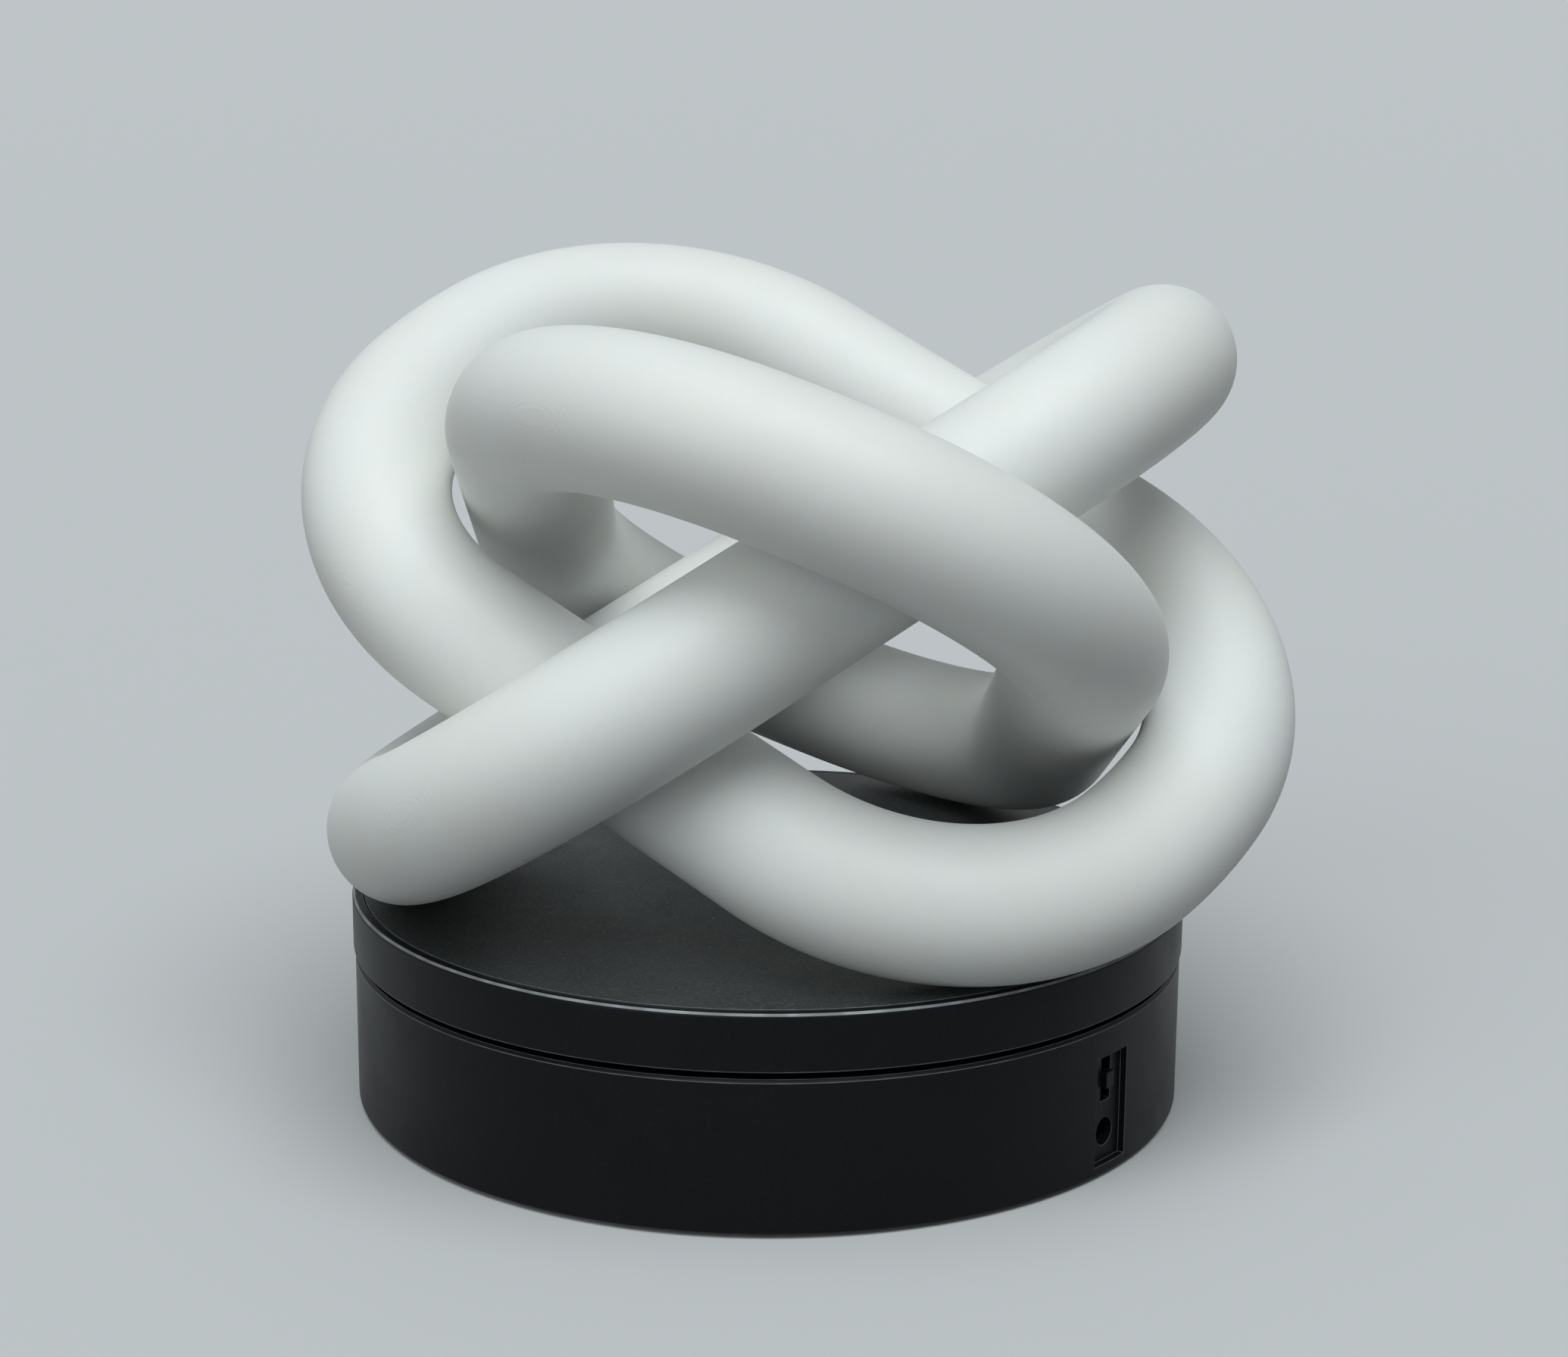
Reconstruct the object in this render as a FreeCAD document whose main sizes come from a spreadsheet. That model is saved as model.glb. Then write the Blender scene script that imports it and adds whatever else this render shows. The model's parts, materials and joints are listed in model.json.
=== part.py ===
import FreeCAD, Part
import math
import os
import Sketcher
from FreeCAD import Placement, Rotation, Vector

# Three interlocked rings resting on the plate of a small motor-driven display base.
# Millimetres and degrees, +Z up, origin on the ground under the middle of the base.

# The driving sizes, each with what it measures
SIZES = (
    ("tube_diameter", 24.2, "thickness of each ring's round tube"),
    ("ring_width", 93.0, "across a ring, from tube centre to tube centre"),
    ("link_play", 1.7, "slack left at each end of a ring round its two neighbours"),
    ("tip_radius", 89.0, "gentle bend of a ring's two ends"),
    ("shoulder_offset", 4.5, "shoulder centres, away from a ring's long axis"),
    ("ring_gap", 0.28, "least gap from ring to ring"),
    ("rest_gap", 0.1, "gap under a ring's lowest point"),
    ("right_x", 4.24, "middle of the right ring, right of the plate's axis"),
    ("right_y", -4.59, "and behind it"),
    ("right_heading", -28.66, "compass direction of its low end"),
    ("right_dip", 25.35, "slope of its long axis"),
    ("right_bank", 24.16, "lean about its long axis"),
    ("back_x", 4.76, "the same for the ring whose low end is at the back"),
    ("back_y", -2.49, ""),
    ("back_heading", 90.98, ""),
    ("back_dip", 24.39, ""),
    ("back_bank", 22.68, ""),
    ("left_x", 2.52, "the same for the ring whose low end is at the left"),
    ("left_y", -3.5, ""),
    ("left_heading", -151.78, ""),
    ("left_dip", 25.7, ""),
    ("left_bank", 21.05, ""),
    ("plate_diameter", 138.0, "turning plate"),
    ("plate_depth", 9.2, "plate, from its top to the lower edge of its skirt"),
    ("plate_wall", 2.0, "web of the plate"),
    ("skirt_wall", 2.2, "skirt of the plate"),
    ("lip_width", 1.7, "lip round the inlaid sheet"),
    ("lip_chamfer", 0.6, "bright edge of the lip"),
    ("sheet_thickness", 0.8, "sheet inlaid in the plate's top"),
    ("sheet_gap", 0.15, "groove round the sheet"),
    ("plate_gap", 1.2, "open line between the plate and the drum"),
    ("hub_diameter", 10.0, "hub under the plate"),
    ("hub_length", 5.0, "hub, below the web"),
    ("rib_thickness", 1.4, "ribs under the plate"),
    ("rib_height", 2.4, ""),
    ("rib_count", 6, ""),
    ("rib_margin", 3.0, "from a rib's end to the roller track"),
    ("track_width", 5.0, "raised track that the rollers carry"),
    ("track_height", 1.2, ""),
    ("roller_inset", 21.0, "middle of the rollers, in from the plate's rim"),
    ("roller_count", 3, ""),
    ("roller_diameter", 6.0, ""),
    ("roller_width", 3.0, ""),
    ("roller_edge", 0.3, "chamfer of a roller's edges"),
    ("roller_pin", 1.5, "pin of a roller"),
    ("roll_gap", 0.1, "between a roller and the track"),
    ("ear_thickness", 1.6, "bracket ears beside a roller"),
    ("ear_width", 4.4, ""),
    ("drum_diameter", 137.4, "fixed drum under the plate"),
    ("drum_height", 24.2, ""),
    ("drum_wall", 2.2, ""),
    ("drum_chamfer", 0.5, "bright edge of the drum's top"),
    ("deck_thickness", 2.2, ""),
    ("foot_proud", 0.8, "rubber feet, below the drum"),
    ("foot_diameter", 9.0, ""),
    ("foot_seat", 0.8, "depth of a foot's seat in the cover"),
    ("foot_inset", 10.7, "middle of the feet, in from the drum's side"),
    ("foot_count", 4, ""),
    ("cover_thickness", 2.0, "bottom cover"),
    ("cover_gap", 0.2, "between the cover and the drum's wall"),
    ("cover_screw_inset", 9.7, "cover screws, in from the drum's side"),
    ("cover_screw_count", 3, ""),
    ("boss_diameter", 6.0, "bosses for the cover's screws"),
    ("cover_screw", 2.4, "shank of a cover screw"),
    ("cover_screw_length", 9.0, ""),
    ("cover_head", 4.8, "head of a cover screw"),
    ("cover_head_height", 0.9, ""),
    ("spindle_diameter", 4.0, "spindle of the plate"),
    ("spindle_flat", 0.6, "depth of the flat on its top"),
    ("bush_wall", 2.0, "brass bush in the deck"),
    ("bush_flange", 1.6, "flange of the bush, past its wall"),
    ("flange_thickness", 0.8, ""),
    ("bush_boss_wall", 2.0, "boss of the deck round the bush"),
    ("bush_boss_drop", 1.6, "boss, below the deck"),
    ("running_gap", 0.05, "radial clearance of a turning pin or shaft"),
    ("fit_gap", 0.02, "clearance of parts pushed together"),
    ("side_gap", 0.3, "clearance beside turning parts"),
    ("gear_module", 0.6, "size of the gear teeth"),
    ("gear_backlash", 0.3, "slack between meshing teeth"),
    ("gear_width", 2.6, "width of a gear's teeth"),
    ("gear_step", 3.6, "from one gear level to the next"),
    ("gear_web", 1.2, "thinned web of a gear wheel"),
    ("gear_rim", 2.0, "rim of a gear wheel, below its teeth"),
    ("gear_hub", 8.0, "hub of a gear wheel"),
    ("gear_pin", 2.0, "pins of the two middle gears"),
    ("frame_thickness", 1.6, "gear frame"),
    ("frame_arm", 7.0, "width of the gear frame's arms"),
    ("frame_eye", 9.0, "round ends of the arms"),
    ("pillar_diameter", 5.6, "pillars that hold the gear frame"),
    ("pillar_clearance", 2.6, "from a pillar to the nearest gear wheel"),
    ("small_screw", 2.0, "shank of an inner screw"),
    ("small_screw_length", 6.0, ""),
    ("small_head", 3.6, "head of an inner screw"),
    ("small_head_height", 0.8, ""),
    ("screw_slot", 0.6, "width of the cross in a screw's head"),
    ("motor_diameter", 24.4, "flat motor"),
    ("motor_length", 12.3, ""),
    ("motor_edge", 1.0, "rounded edge of the can"),
    ("motor_cap_thickness", 1.4, "plastic end cap of the motor"),
    ("motor_nose", 6.0, "round nose of the motor"),
    ("motor_nose_height", 0.9, ""),
    ("motor_shaft", 2.0, ""),
    ("motor_hole_spread", 16.0, "between the motor's two screws"),
    ("bracket_thickness", 1.0, "motor bracket"),
    ("bracket_reach", 16.2, "from the motor's axis to the bracket's screws"),
    ("bracket_arm", 6.5, ""),
    ("terminal_length", 2.5, "solder tabs, out of the side of the end cap"),
    ("terminal_width", 1.6, ""),
    ("terminal_thickness", 0.4, ""),
    ("cell_diameter", 14.2, "battery cell"),
    ("cell_length", 49.2, ""),
    ("nub_diameter", 5.5, ""),
    ("nub_length", 1.2, ""),
    ("cell_gap", 0.5, "round the cells"),
    ("contact_depth", 2.6, "room for the contacts at each end of the cells"),
    ("contact_thickness", 0.4, "sprung contact strip"),
    ("contact_width", 8.0, ""),
    ("case_wall", 1.2, "battery case"),
    ("case_clearance", 0.8, "from the battery case to the big gear"),
    ("case_shift", 6.0, "middle of the battery case, behind the axis"),
    ("lid_thickness", 1.2, "battery lid"),
    ("lid_gap", 0.2, "round the battery lid"),
    ("lid_travel", 5.0, "slide that frees the lid's tongue"),
    ("tongue_reach", 1.4, "tongue of the lid, past the lid's edge"),
    ("tongue_width", 3.0, ""),
    ("tongue_thickness", 1.0, ""),
    ("grip_width", 0.8, "finger grooves in the lid"),
    ("grip_depth", 0.5, ""),
    ("grip_length", 14.0, ""),
    ("grip_pitch", 2.4, ""),
    ("grip_count", 4, ""),
    ("port_heading", -38.7, "compass direction of the recess in the drum's side"),
    ("port_width", 8.4, "recess"),
    ("port_height", 17.8, ""),
    ("port_sill", 1.4, "rim under the recess"),
    ("port_depth", 1.3, ""),
    ("port_pad_width", 14.0, "thicker wall behind the recess"),
    ("port_pad_depth", 1.6, "past the drum's own wall"),
    ("switch_height", 14.8, "middle of the switch, above the drum's foot"),
    ("switch_width", 4.0, ""),
    ("switch_length", 9.0, ""),
    ("switch_travel", 2.0, "each way from off"),
    ("knob_width", 2.0, "knob of the switch"),
    ("knob_length", 2.6, ""),
    ("knob_proud", 0.9, "knob, past the floor of the recess"),
    ("slider_thickness", 1.4, "block that carries the knob"),
    ("slider_rim", 0.6, "block, past the knob"),
    ("socket_height", 6.0, "middle of the power socket, above the drum's foot"),
    ("socket_size", 6.4, "body of the socket"),
    ("socket_bore", 3.9, ""),
    ("socket_pin", 1.1, ""),
    ("socket_depth", 4.6, ""),
    ("board_width", 22.0, "circuit board"),
    ("board_height", 17.0, ""),
    ("board_thickness", 1.2, ""),
    ("board_setback", 6.0, "from the board to the pad behind the recess"),
    ("chip_size", 4.0, "control chip"),
    ("chip_height", 1.4, ""),
    ("can_diameter", 5.0, "capacitor"),
    ("can_height", 5.4, ""),
    ("lead_diameter", 1.2, "insulated wire"),
    ("lead_pitch", 3.0, "from wire to wire"),
    ("overrun", 0.5, "cutting and joining past a face"),
)

# Tooth counts
WHEEL_TEETH = 60
PINION_TEETH = 12
MOTOR_TEETH = 10
# Tooth shape, as shares of the gear module
TIP_SHARE = 0.9
ROOT_SHARE = 1.2
FLANK_SLOPE_SHARE = 0.364

# Routes of the motor's two wires between the board and the motor, counted in steps of the
# distance from wire to wire, and how much of the shorter of two runs their bend takes
MOTOR_LEAD_UPPER = ((6.7, -10.5), (1.3, -11.3), (-4, -11))
MOTOR_LEAD_LOWER = ((6.2, -11.5), (1.2, -12.3), (-4.5, -12))
BEND_SHARE = 0.45

# Parts whose size is a share of another's
CROSS_SHARE = 0.6
PIN_BOSS_SHARE = 1.2
EAR_TOP_SHARE = 0.8
LEAF_SHARE = 0.8
CHIP_LENGTH_SHARE = 1.5
SOCKET_HEIGHT_SHARE = 0.9
SOCKET_PIN_SHARE = 0.9

# Points along a ring for finding where rings touch, and the most steps to clear them
LOOP_POINTS = 120
SETTLE_STEPS = 60

# Compass directions in degrees: from each gear to the next, and of what stands round an axis
SECOND_ANGLE = 120
FIRST_ANGLE = 200
MOTOR_ANGLE = 250
TERMINAL_ANGLE = -60
PILLAR_ANGLES = (-80, 135, 20)
EAR_ANGLE = 60
COVER_SCREW_ANGLE = 60
FOOT_ANGLE = 45
ROLLER_ANGLE = 90
QUARTER_TURN = 90
HALF_TURN = 180
FULL_TURN = 360

document = FreeCAD.newDocument("ring_link")
sheet = document.addObject("Spreadsheet::Sheet", "Sizes")


class Size:
    """A number together with the sheet formula that gives it."""

    def __init__(self, value, text):
        self.value = float(value)
        self.text = text

    def joined(self, other, sign, value):
        return Size(value, "(%s %s %s)" % (self.text, sign, other.text))

    def __add__(self, other):
        other = as_size(other)
        return self.joined(other, "+", self.value + other.value)

    def __sub__(self, other):
        other = as_size(other)
        return self.joined(other, "-", self.value - other.value)

    def __mul__(self, other):
        other = as_size(other)
        return self.joined(other, "*", self.value * other.value)

    def __truediv__(self, other):
        other = as_size(other)
        return self.joined(other, "/", self.value / other.value)

    def __neg__(self):
        return Size(-self.value, "(0 - %s)" % self.text)

    __radd__ = __add__
    __rmul__ = __mul__


def as_size(number):
    """A plain number becomes a size with itself as its formula."""
    return number if isinstance(number, Size) else Size(number, "(%.12g)" % number)


def fill_sheet():
    """Writes the driving sizes to the sheet and gives them back by name."""
    named = {}
    for row, (name, value, meaning) in enumerate(SIZES, start=1):
        sheet.set("A%d" % row, name)
        sheet.set("B%d" % row, str(value))
        sheet.set("C%d" % row, meaning)
        sheet.setAlias("B%d" % row, name)
        named[name] = Size(value, "Sizes." + name)
    document.recompute()
    return named


S = fill_sheet()
NOUGHT = as_size(0)

# Heights and radii that several pieces share
drum_foot = S["foot_proud"]
drum_top = drum_foot + S["drum_height"]
deck_low = drum_top - S["deck_thickness"]
skirt_low = drum_top + S["plate_gap"]
plate_top = skirt_low + S["plate_depth"]
web_top = plate_top - S["sheet_thickness"]
web_low = web_top - S["plate_wall"]
hub_low = web_low - S["hub_length"]
track_low = web_low - S["track_height"]
plate_radius = S["plate_diameter"] / 2
drum_radius = S["drum_diameter"] / 2
roller_out = plate_radius - S["roller_inset"]
foot_out = drum_radius - S["foot_inset"]
cover_screw_out = drum_radius - S["cover_screw_inset"]
drum_inside = drum_radius - S["drum_wall"]
cover_top = drum_foot + S["cover_thickness"]
cover_radius = drum_inside - S["cover_gap"]
roller_radius = S["roller_diameter"] / 2
roller_axis = track_low - S["roll_gap"] - roller_radius
bush_radius = S["spindle_diameter"] / 2 + S["running_gap"] + S["bush_wall"]
boss_low = deck_low - S["bush_boss_drop"]
wheel_radius = S["gear_module"] * (WHEEL_TEETH / 2)
wheel_tip = wheel_radius + S["gear_module"] * TIP_SHARE
mesh_distance = S["gear_module"] * ((WHEEL_TEETH + PINION_TEETH) / 2)
motor_mesh = S["gear_module"] * ((WHEEL_TEETH + MOTOR_TEETH) / 2)
third_level = deck_low - S["gear_step"] - S["bush_boss_drop"]
second_level = third_level - S["gear_step"]
first_level = second_level - S["gear_step"]
frame_top = first_level - S["side_gap"]
frame_low = frame_top - S["frame_thickness"]
bracket_top = third_level - S["side_gap"]
motor_top = bracket_top - S["bracket_thickness"]
motor_low = motor_top - S["motor_length"]
lead_height = motor_low + S["motor_cap_thickness"] / 3
small_hole = S["small_screw"] / 2 + S["running_gap"]


def along(angle, reach, start=(NOUGHT, NOUGHT)):
    """The point at a reach from a start, in a compass direction in degrees."""
    turn = math.radians(angle)
    return start[0] + reach * math.cos(turn), start[1] + reach * math.sin(turn)


def turned(x, y, angle):
    """A point turned about the origin by an angle in degrees."""
    turn = math.radians(angle)
    c, s = math.cos(turn), math.sin(turn)
    return x * c - y * s, x * s + y * c


spindle_at = (NOUGHT, NOUGHT)
second_at = along(SECOND_ANGLE, mesh_distance)
first_at = along(FIRST_ANGLE, mesh_distance, second_at)
motor_at = along(MOTOR_ANGLE, motor_mesh, first_at)
pillar_reach = wheel_tip + S["pillar_diameter"] / 2 + S["pillar_clearance"]
PILLARS = tuple(
    along(angle, pillar_reach, start)
    for angle, start in zip(PILLAR_ANGLES, (spindle_at, second_at, second_at))
)
BRACKET_EARS = tuple(
    along(MOTOR_ANGLE + side, S["bracket_reach"], motor_at) for side in (-EAR_ANGLE, EAR_ANGLE)
)
MOTOR_HOLES = tuple(
    along(MOTOR_ANGLE + side, S["motor_hole_spread"] / 2, motor_at)
    for side in (-QUARTER_TURN, QUARTER_TURN)
)
PORT = S["port_heading"].value

# The battery case, from the big gear outwards
case_low_x = wheel_tip + S["case_clearance"] + S["case_wall"]
case_size_x = S["cell_diameter"] * 2 + S["cell_gap"] * 3
case_size_y = S["cell_length"] + S["nub_length"] + S["contact_depth"] * 2
case_low_y = S["case_shift"] - case_size_y / 2
case_middle_x = case_low_x + case_size_x / 2
case_high_y = case_low_y + case_size_y
case_floor = drum_foot + S["lid_thickness"] + S["lid_gap"]
case_roof = case_floor + S["cell_diameter"] + S["cell_gap"] * 2


# Small helpers for features bound to the sheet

def bind(thing, name, size):
    """Sets a property and ties it to the sheet."""
    setattr(thing, name, size.value)
    thing.setExpression(name, size.text)


def put(thing, x, y, z, rotation=None):
    """Places an object at sizes, turned by a rotation."""
    sizes = [as_size(c) for c in (x, y, z)]
    thing.Placement = Placement(Vector(*[c.value for c in sizes]), rotation or Rotation())
    for letter, size in zip("xyz", sizes):
        thing.setExpression("Placement.Base." + letter, size.text)


def heading_rotation(angle):
    return Rotation(Vector(0, 0, 1), angle)


def new_body(label):
    body = document.addObject("PartDesign::Body", label)
    body.Label = label
    return body


def origin_feature(body, role):
    return next(f for f in body.Origin.OriginFeatures if f.Role == role)


def flat_sketch(body, name, height=None, role="XY_Plane"):
    """A sketch on one of the body's own planes, raised along that plane's normal."""
    sketch = body.newObject("Sketcher::SketchObject", name)
    sketch.AttachmentSupport = [(origin_feature(body, role), "")]
    sketch.MapMode = "FlatFace"
    if height is not None:
        sketch.AttachmentOffset = Placement(Vector(0, 0, height.value), Rotation())
        sketch.setExpression("AttachmentOffset.Base.z", height.text)
    return sketch


def side_sketch(body, name, heading, distance):
    """An upright sketch that faces outwards in a compass direction."""
    sketch = body.newObject("Sketcher::SketchObject", name)
    sketch.AttachmentSupport = [(origin_feature(body, "YZ_Plane"), "")]
    sketch.MapMode = "FlatFace"
    turn = math.radians(heading)
    along_x, along_z = distance * math.sin(turn), distance * math.cos(turn)
    place = Vector(along_x.value, 0, along_z.value)
    sketch.AttachmentOffset = Placement(place, Rotation(Vector(0, 1, 0), heading))
    sketch.setExpression("AttachmentOffset.Base.x", along_x.text)
    sketch.setExpression("AttachmentOffset.Base.z", along_z.text)
    return sketch


def hold_one(sketch, kind, geometry, point, size):
    """Fixes how far a point of a sketch lies from its origin, one way."""
    index = sketch.addConstraint(Sketcher.Constraint(kind, -1, 1, geometry, point, size.value))
    sketch.setExpression("Constraints[%d]" % index, size.text)


def hold(sketch, geometry, point, x, y):
    """Fixes a point of a sketch at sizes from its origin."""
    for size, kind, axis in ((as_size(x), "DistanceX", -2), (as_size(y), "DistanceY", -1)):
        if abs(size.value) < 1e-9:
            sketch.addConstraint(Sketcher.Constraint("PointOnObject", geometry, point, axis))
        else:
            hold_one(sketch, kind, geometry, point, size)


def hold_radius(sketch, geometry, size):
    index = sketch.addConstraint(Sketcher.Constraint("Radius", geometry, size.value))
    sketch.setExpression("Constraints[%d]" % index, size.text)


def outline(sketch, points):
    """A closed outline of straight edges through points given in sizes."""
    first = sketch.GeometryCount
    places = [Vector(as_size(x).value, as_size(y).value, 0) for x, y in points]
    count = len(points)
    for i in range(count):
        sketch.addGeometry(Part.LineSegment(places[i], places[(i + 1) % count]), False)
    for i in range(count):
        joint = Sketcher.Constraint("Coincident", first + i, 2, first + (i + 1) % count, 1)
        sketch.addConstraint(joint)
    for i, (x, y) in enumerate(points):
        hold(sketch, first + i, 1, x, y)


def rectangle(sketch, low_x, low_y, high_x, high_y, angle=0):
    corners = ((low_x, low_y), (high_x, low_y), (high_x, high_y), (low_x, high_y))
    if angle:
        corners = [turned(as_size(x), as_size(y), angle) for x, y in corners]
    outline(sketch, corners)


def circle(sketch, radius, x=NOUGHT, y=NOUGHT):
    middle = Vector(as_size(x).value, as_size(y).value, 0)
    geometry = sketch.addGeometry(Part.Circle(middle, Vector(0, 0, 1), radius.value), False)
    hold(sketch, geometry, 3, x, y)
    hold_radius(sketch, geometry, radius)


def pad(body, sketch, length, name, symmetric=False):
    feature = body.newObject("PartDesign::Pad", name)
    feature.Profile = sketch
    if symmetric:
        feature.SideType = "Symmetric"
    bind(feature, "Length", length)
    return feature


def pocket(body, sketch, length, name, upwards=False):
    feature = body.newObject("PartDesign::Pocket", name)
    feature.Profile = sketch
    feature.Reversed = upwards
    bind(feature, "Length", length)
    return feature


def revolve(body, sketch):
    feature = body.newObject("PartDesign::Revolution", "turned_form")
    feature.Profile = sketch
    feature.ReferenceAxis = (sketch, ["V_Axis"])
    feature.Angle = FULL_TURN
    return feature


def ring_pattern(body, features, count, name):
    """Copies features evenly round the upright axis."""
    pattern = body.newObject("PartDesign::PolarPattern", name)
    pattern.Originals = features
    pattern.Axis = (origin_feature(body, "Z_Axis"), [""])
    pattern.Angle = FULL_TURN
    pattern.Occurrences = int(count.value)
    pattern.setExpression("Occurrences", count.text)
    body.Tip = pattern
    return pattern


def cylinder(name, radius, height, x, y, z, rotation=None):
    thing = document.addObject("Part::Cylinder", name)
    bind(thing, "Radius", radius)
    bind(thing, "Height", height)
    put(thing, x, y, z, rotation)
    return thing


def block(name, length, width, height, x, y, z, heading=0):
    """A box from its low corner, the whole turned about the upright axis."""
    thing = document.addObject("Part::Box", name)
    bind(thing, "Length", length)
    bind(thing, "Width", width)
    bind(thing, "Height", height)
    x, y = turned(as_size(x), as_size(y), heading)
    put(thing, x, y, z, heading_rotation(heading))
    return thing


def cut(name, base, tools):
    """The base less every tool."""
    for index, tool in enumerate(tools):
        feature = document.addObject("Part::Cut", "%s_%d" % (name, index))
        feature.Base = base
        feature.Tool = tool
        base = feature
    base.Label = name
    return base


def fuse(name, shapes):
    feature = document.addObject("Part::MultiFuse", name)
    feature.Shapes = shapes
    feature.Label = name
    return feature


def group(name, shapes):
    """Separate solids that share one node."""
    feature = document.addObject("Part::Compound", name)
    feature.Links = shapes
    feature.Label = name
    return feature


# The three rings

ring_radius = S["tube_diameter"] / 2
half_width = S["ring_width"] / 2
half_length = half_width + S["tube_diameter"] + S["link_play"]
shoulder_radius = half_width - S["shoulder_offset"]


def loop_shape():
    """The tip arcs' centre, the shoulder arcs' centre, and the angle where they meet."""
    tip, shoulder, offset = S["tip_radius"].value, shoulder_radius.value, S["shoulder_offset"].value
    tip_centre = half_length.value - tip
    side_end = tip_centre + math.sqrt((tip - shoulder) ** 2 - offset ** 2)
    return tip_centre, side_end, math.atan2(offset, side_end - tip_centre)


def ring_centreline():
    """The arcs and lines of a ring's middle, from its long side once round."""
    tip, shoulder, offset = S["tip_radius"].value, shoulder_radius.value, S["shoulder_offset"].value
    tip_centre, side_end, swing = loop_shape()
    width = half_width.value
    quarter, half = math.pi / 2, math.pi

    def arc(x, y, radius, start, end):
        return Part.ArcOfCircle(Part.Circle(Vector(x, y, 0), Vector(0, 0, 1), radius), start, end)

    return (
        Part.LineSegment(Vector(0, width, 0), Vector(-side_end, width, 0)),
        arc(-side_end, offset, shoulder, quarter, half - swing),
        arc(-tip_centre, 0, tip, half - swing, half + swing),
        arc(-side_end, -offset, shoulder, half + swing, half + quarter),
        Part.LineSegment(Vector(-side_end, -width, 0), Vector(side_end, -width, 0)),
        arc(side_end, -offset, shoulder, -quarter, -swing),
        arc(tip_centre, 0, tip, -swing, swing),
        arc(side_end, offset, shoulder, swing, quarter),
        Part.LineSegment(Vector(side_end, width, 0), Vector(0, width, 0)),
    )


def ring_body(label):
    """A round tube swept once round a flattened loop."""
    body = new_body(label)
    path = flat_sketch(body, label + "_path")
    path.addGeometry(list(ring_centreline()), False)
    last = path.GeometryCount - 1
    for i in range(last):
        path.addConstraint(Sketcher.Constraint("Tangent", i, 2, i + 1, 1))
    path.addConstraint(Sketcher.Constraint("Coincident", last, 2, 0, 1))
    for i in (0, 4, last):
        path.addConstraint(Sketcher.Constraint("Horizontal", i))
    tie_path(path)
    section = flat_sketch(body, label + "_section", role="YZ_Plane")
    circle(section, ring_radius, half_width, NOUGHT)
    tube = body.newObject("PartDesign::AdditivePipe", label + "_tube")
    tube.Profile = section
    tube.Spine = path
    return body


def tie_path(path):
    """Ties the loop's width, length and bends to the sheet."""
    hold(path, 0, 1, NOUGHT, half_width)
    hold_one(path, "DistanceY", 4, 1, -half_width)
    tip_centre = half_length - S["tip_radius"]
    hold(path, 2, 3, -tip_centre, NOUGHT)
    hold(path, 6, 3, tip_centre, NOUGHT)
    for geometry in (1, 3, 5, 7):
        hold_radius(path, geometry, shoulder_radius)
    for geometry in (2, 6):
        hold_radius(path, geometry, S["tip_radius"])


def loop_points():
    """Evenly spread points of the loop's middle, for working out where the rings touch."""
    wire = Part.Wire([edge.toShape() for edge in ring_centreline()])
    return wire.discretize(Number=LOOP_POINTS + 1)[:-1]


def first_places():
    """Each ring as it lies on the plate: middle, and turn in heading, dip and bank."""
    places = {}
    for side in ("right", "back", "left"):
        turn = Rotation(*[S[side + part].value for part in ("_heading", "_dip", "_bank")])
        places[side] = Placement(Vector(S[side + "_x"].value, S[side + "_y"].value, 0), turn)
    return places


def seat(place):
    """Lifts or lowers a ring until its lowest point rests on the plate."""
    down = place.Rotation.inverted().multVec(Vector(0, 0, -1))
    long_way, short_way = abs(down.x), abs(down.y)
    tip_centre, side_end, swing = loop_shape()
    if math.atan2(short_way, long_way) < swing:
        drop = tip_centre * long_way
        radius = S["tip_radius"]
    else:
        drop = side_end * long_way + S["shoulder_offset"].value * short_way
        radius = shoulder_radius
    drop += radius.value * math.hypot(long_way, short_way)
    rest = plate_top + S["rest_gap"] + ring_radius
    place.Base = Vector(place.Base.x, place.Base.y, rest.value + drop)


def nearest(points_a, points_b):
    """The closest pair of points of two loops."""
    pairs = ((a.distanceToPoint(b), a, b) for a in points_a for b in points_b)
    return min(pairs, key=lambda pair: pair[0])


def nudge(place, push, at):
    """Moves a ring by a push felt at a point: part of it slides, part of it turns."""
    arm = at - place.Base
    inertia = half_length.value ** 2 / 2
    turn = arm.cross(push) / inertia
    place.Base = place.Base + push
    if turn.Length > 0:
        place.Rotation = Rotation(turn, math.degrees(turn.Length)) * place.Rotation


def settle():
    """Where the rings come to rest: seated on the plate and clear of each other."""
    points = loop_points()
    places = first_places()
    sides = list(places)
    wanted = S["tube_diameter"].value + S["ring_gap"].value
    for _ in range(SETTLE_STEPS):
        for place in places.values():
            seat(place)
        moved = False
        for a, b in zip(sides, sides[1:] + sides[:1]):
            loops = [[places[side].multVec(p) for p in points] for side in (a, b)]
            gap, at_a, at_b = nearest(*loops)
            if gap < wanted:
                push = (at_b - at_a) * ((wanted - gap) / gap / 4)
                nudge(places[a], -push, at_a)
                nudge(places[b], push, at_b)
                moved = True
        if not moved:
            break
    return places


def make_rings():
    places = settle()
    made = []
    for side, place in places.items():
        body = ring_body(side + "_ring")
        body.Placement = place
        made.append(body)
    return made


# The turning plate and what turns with it

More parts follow.
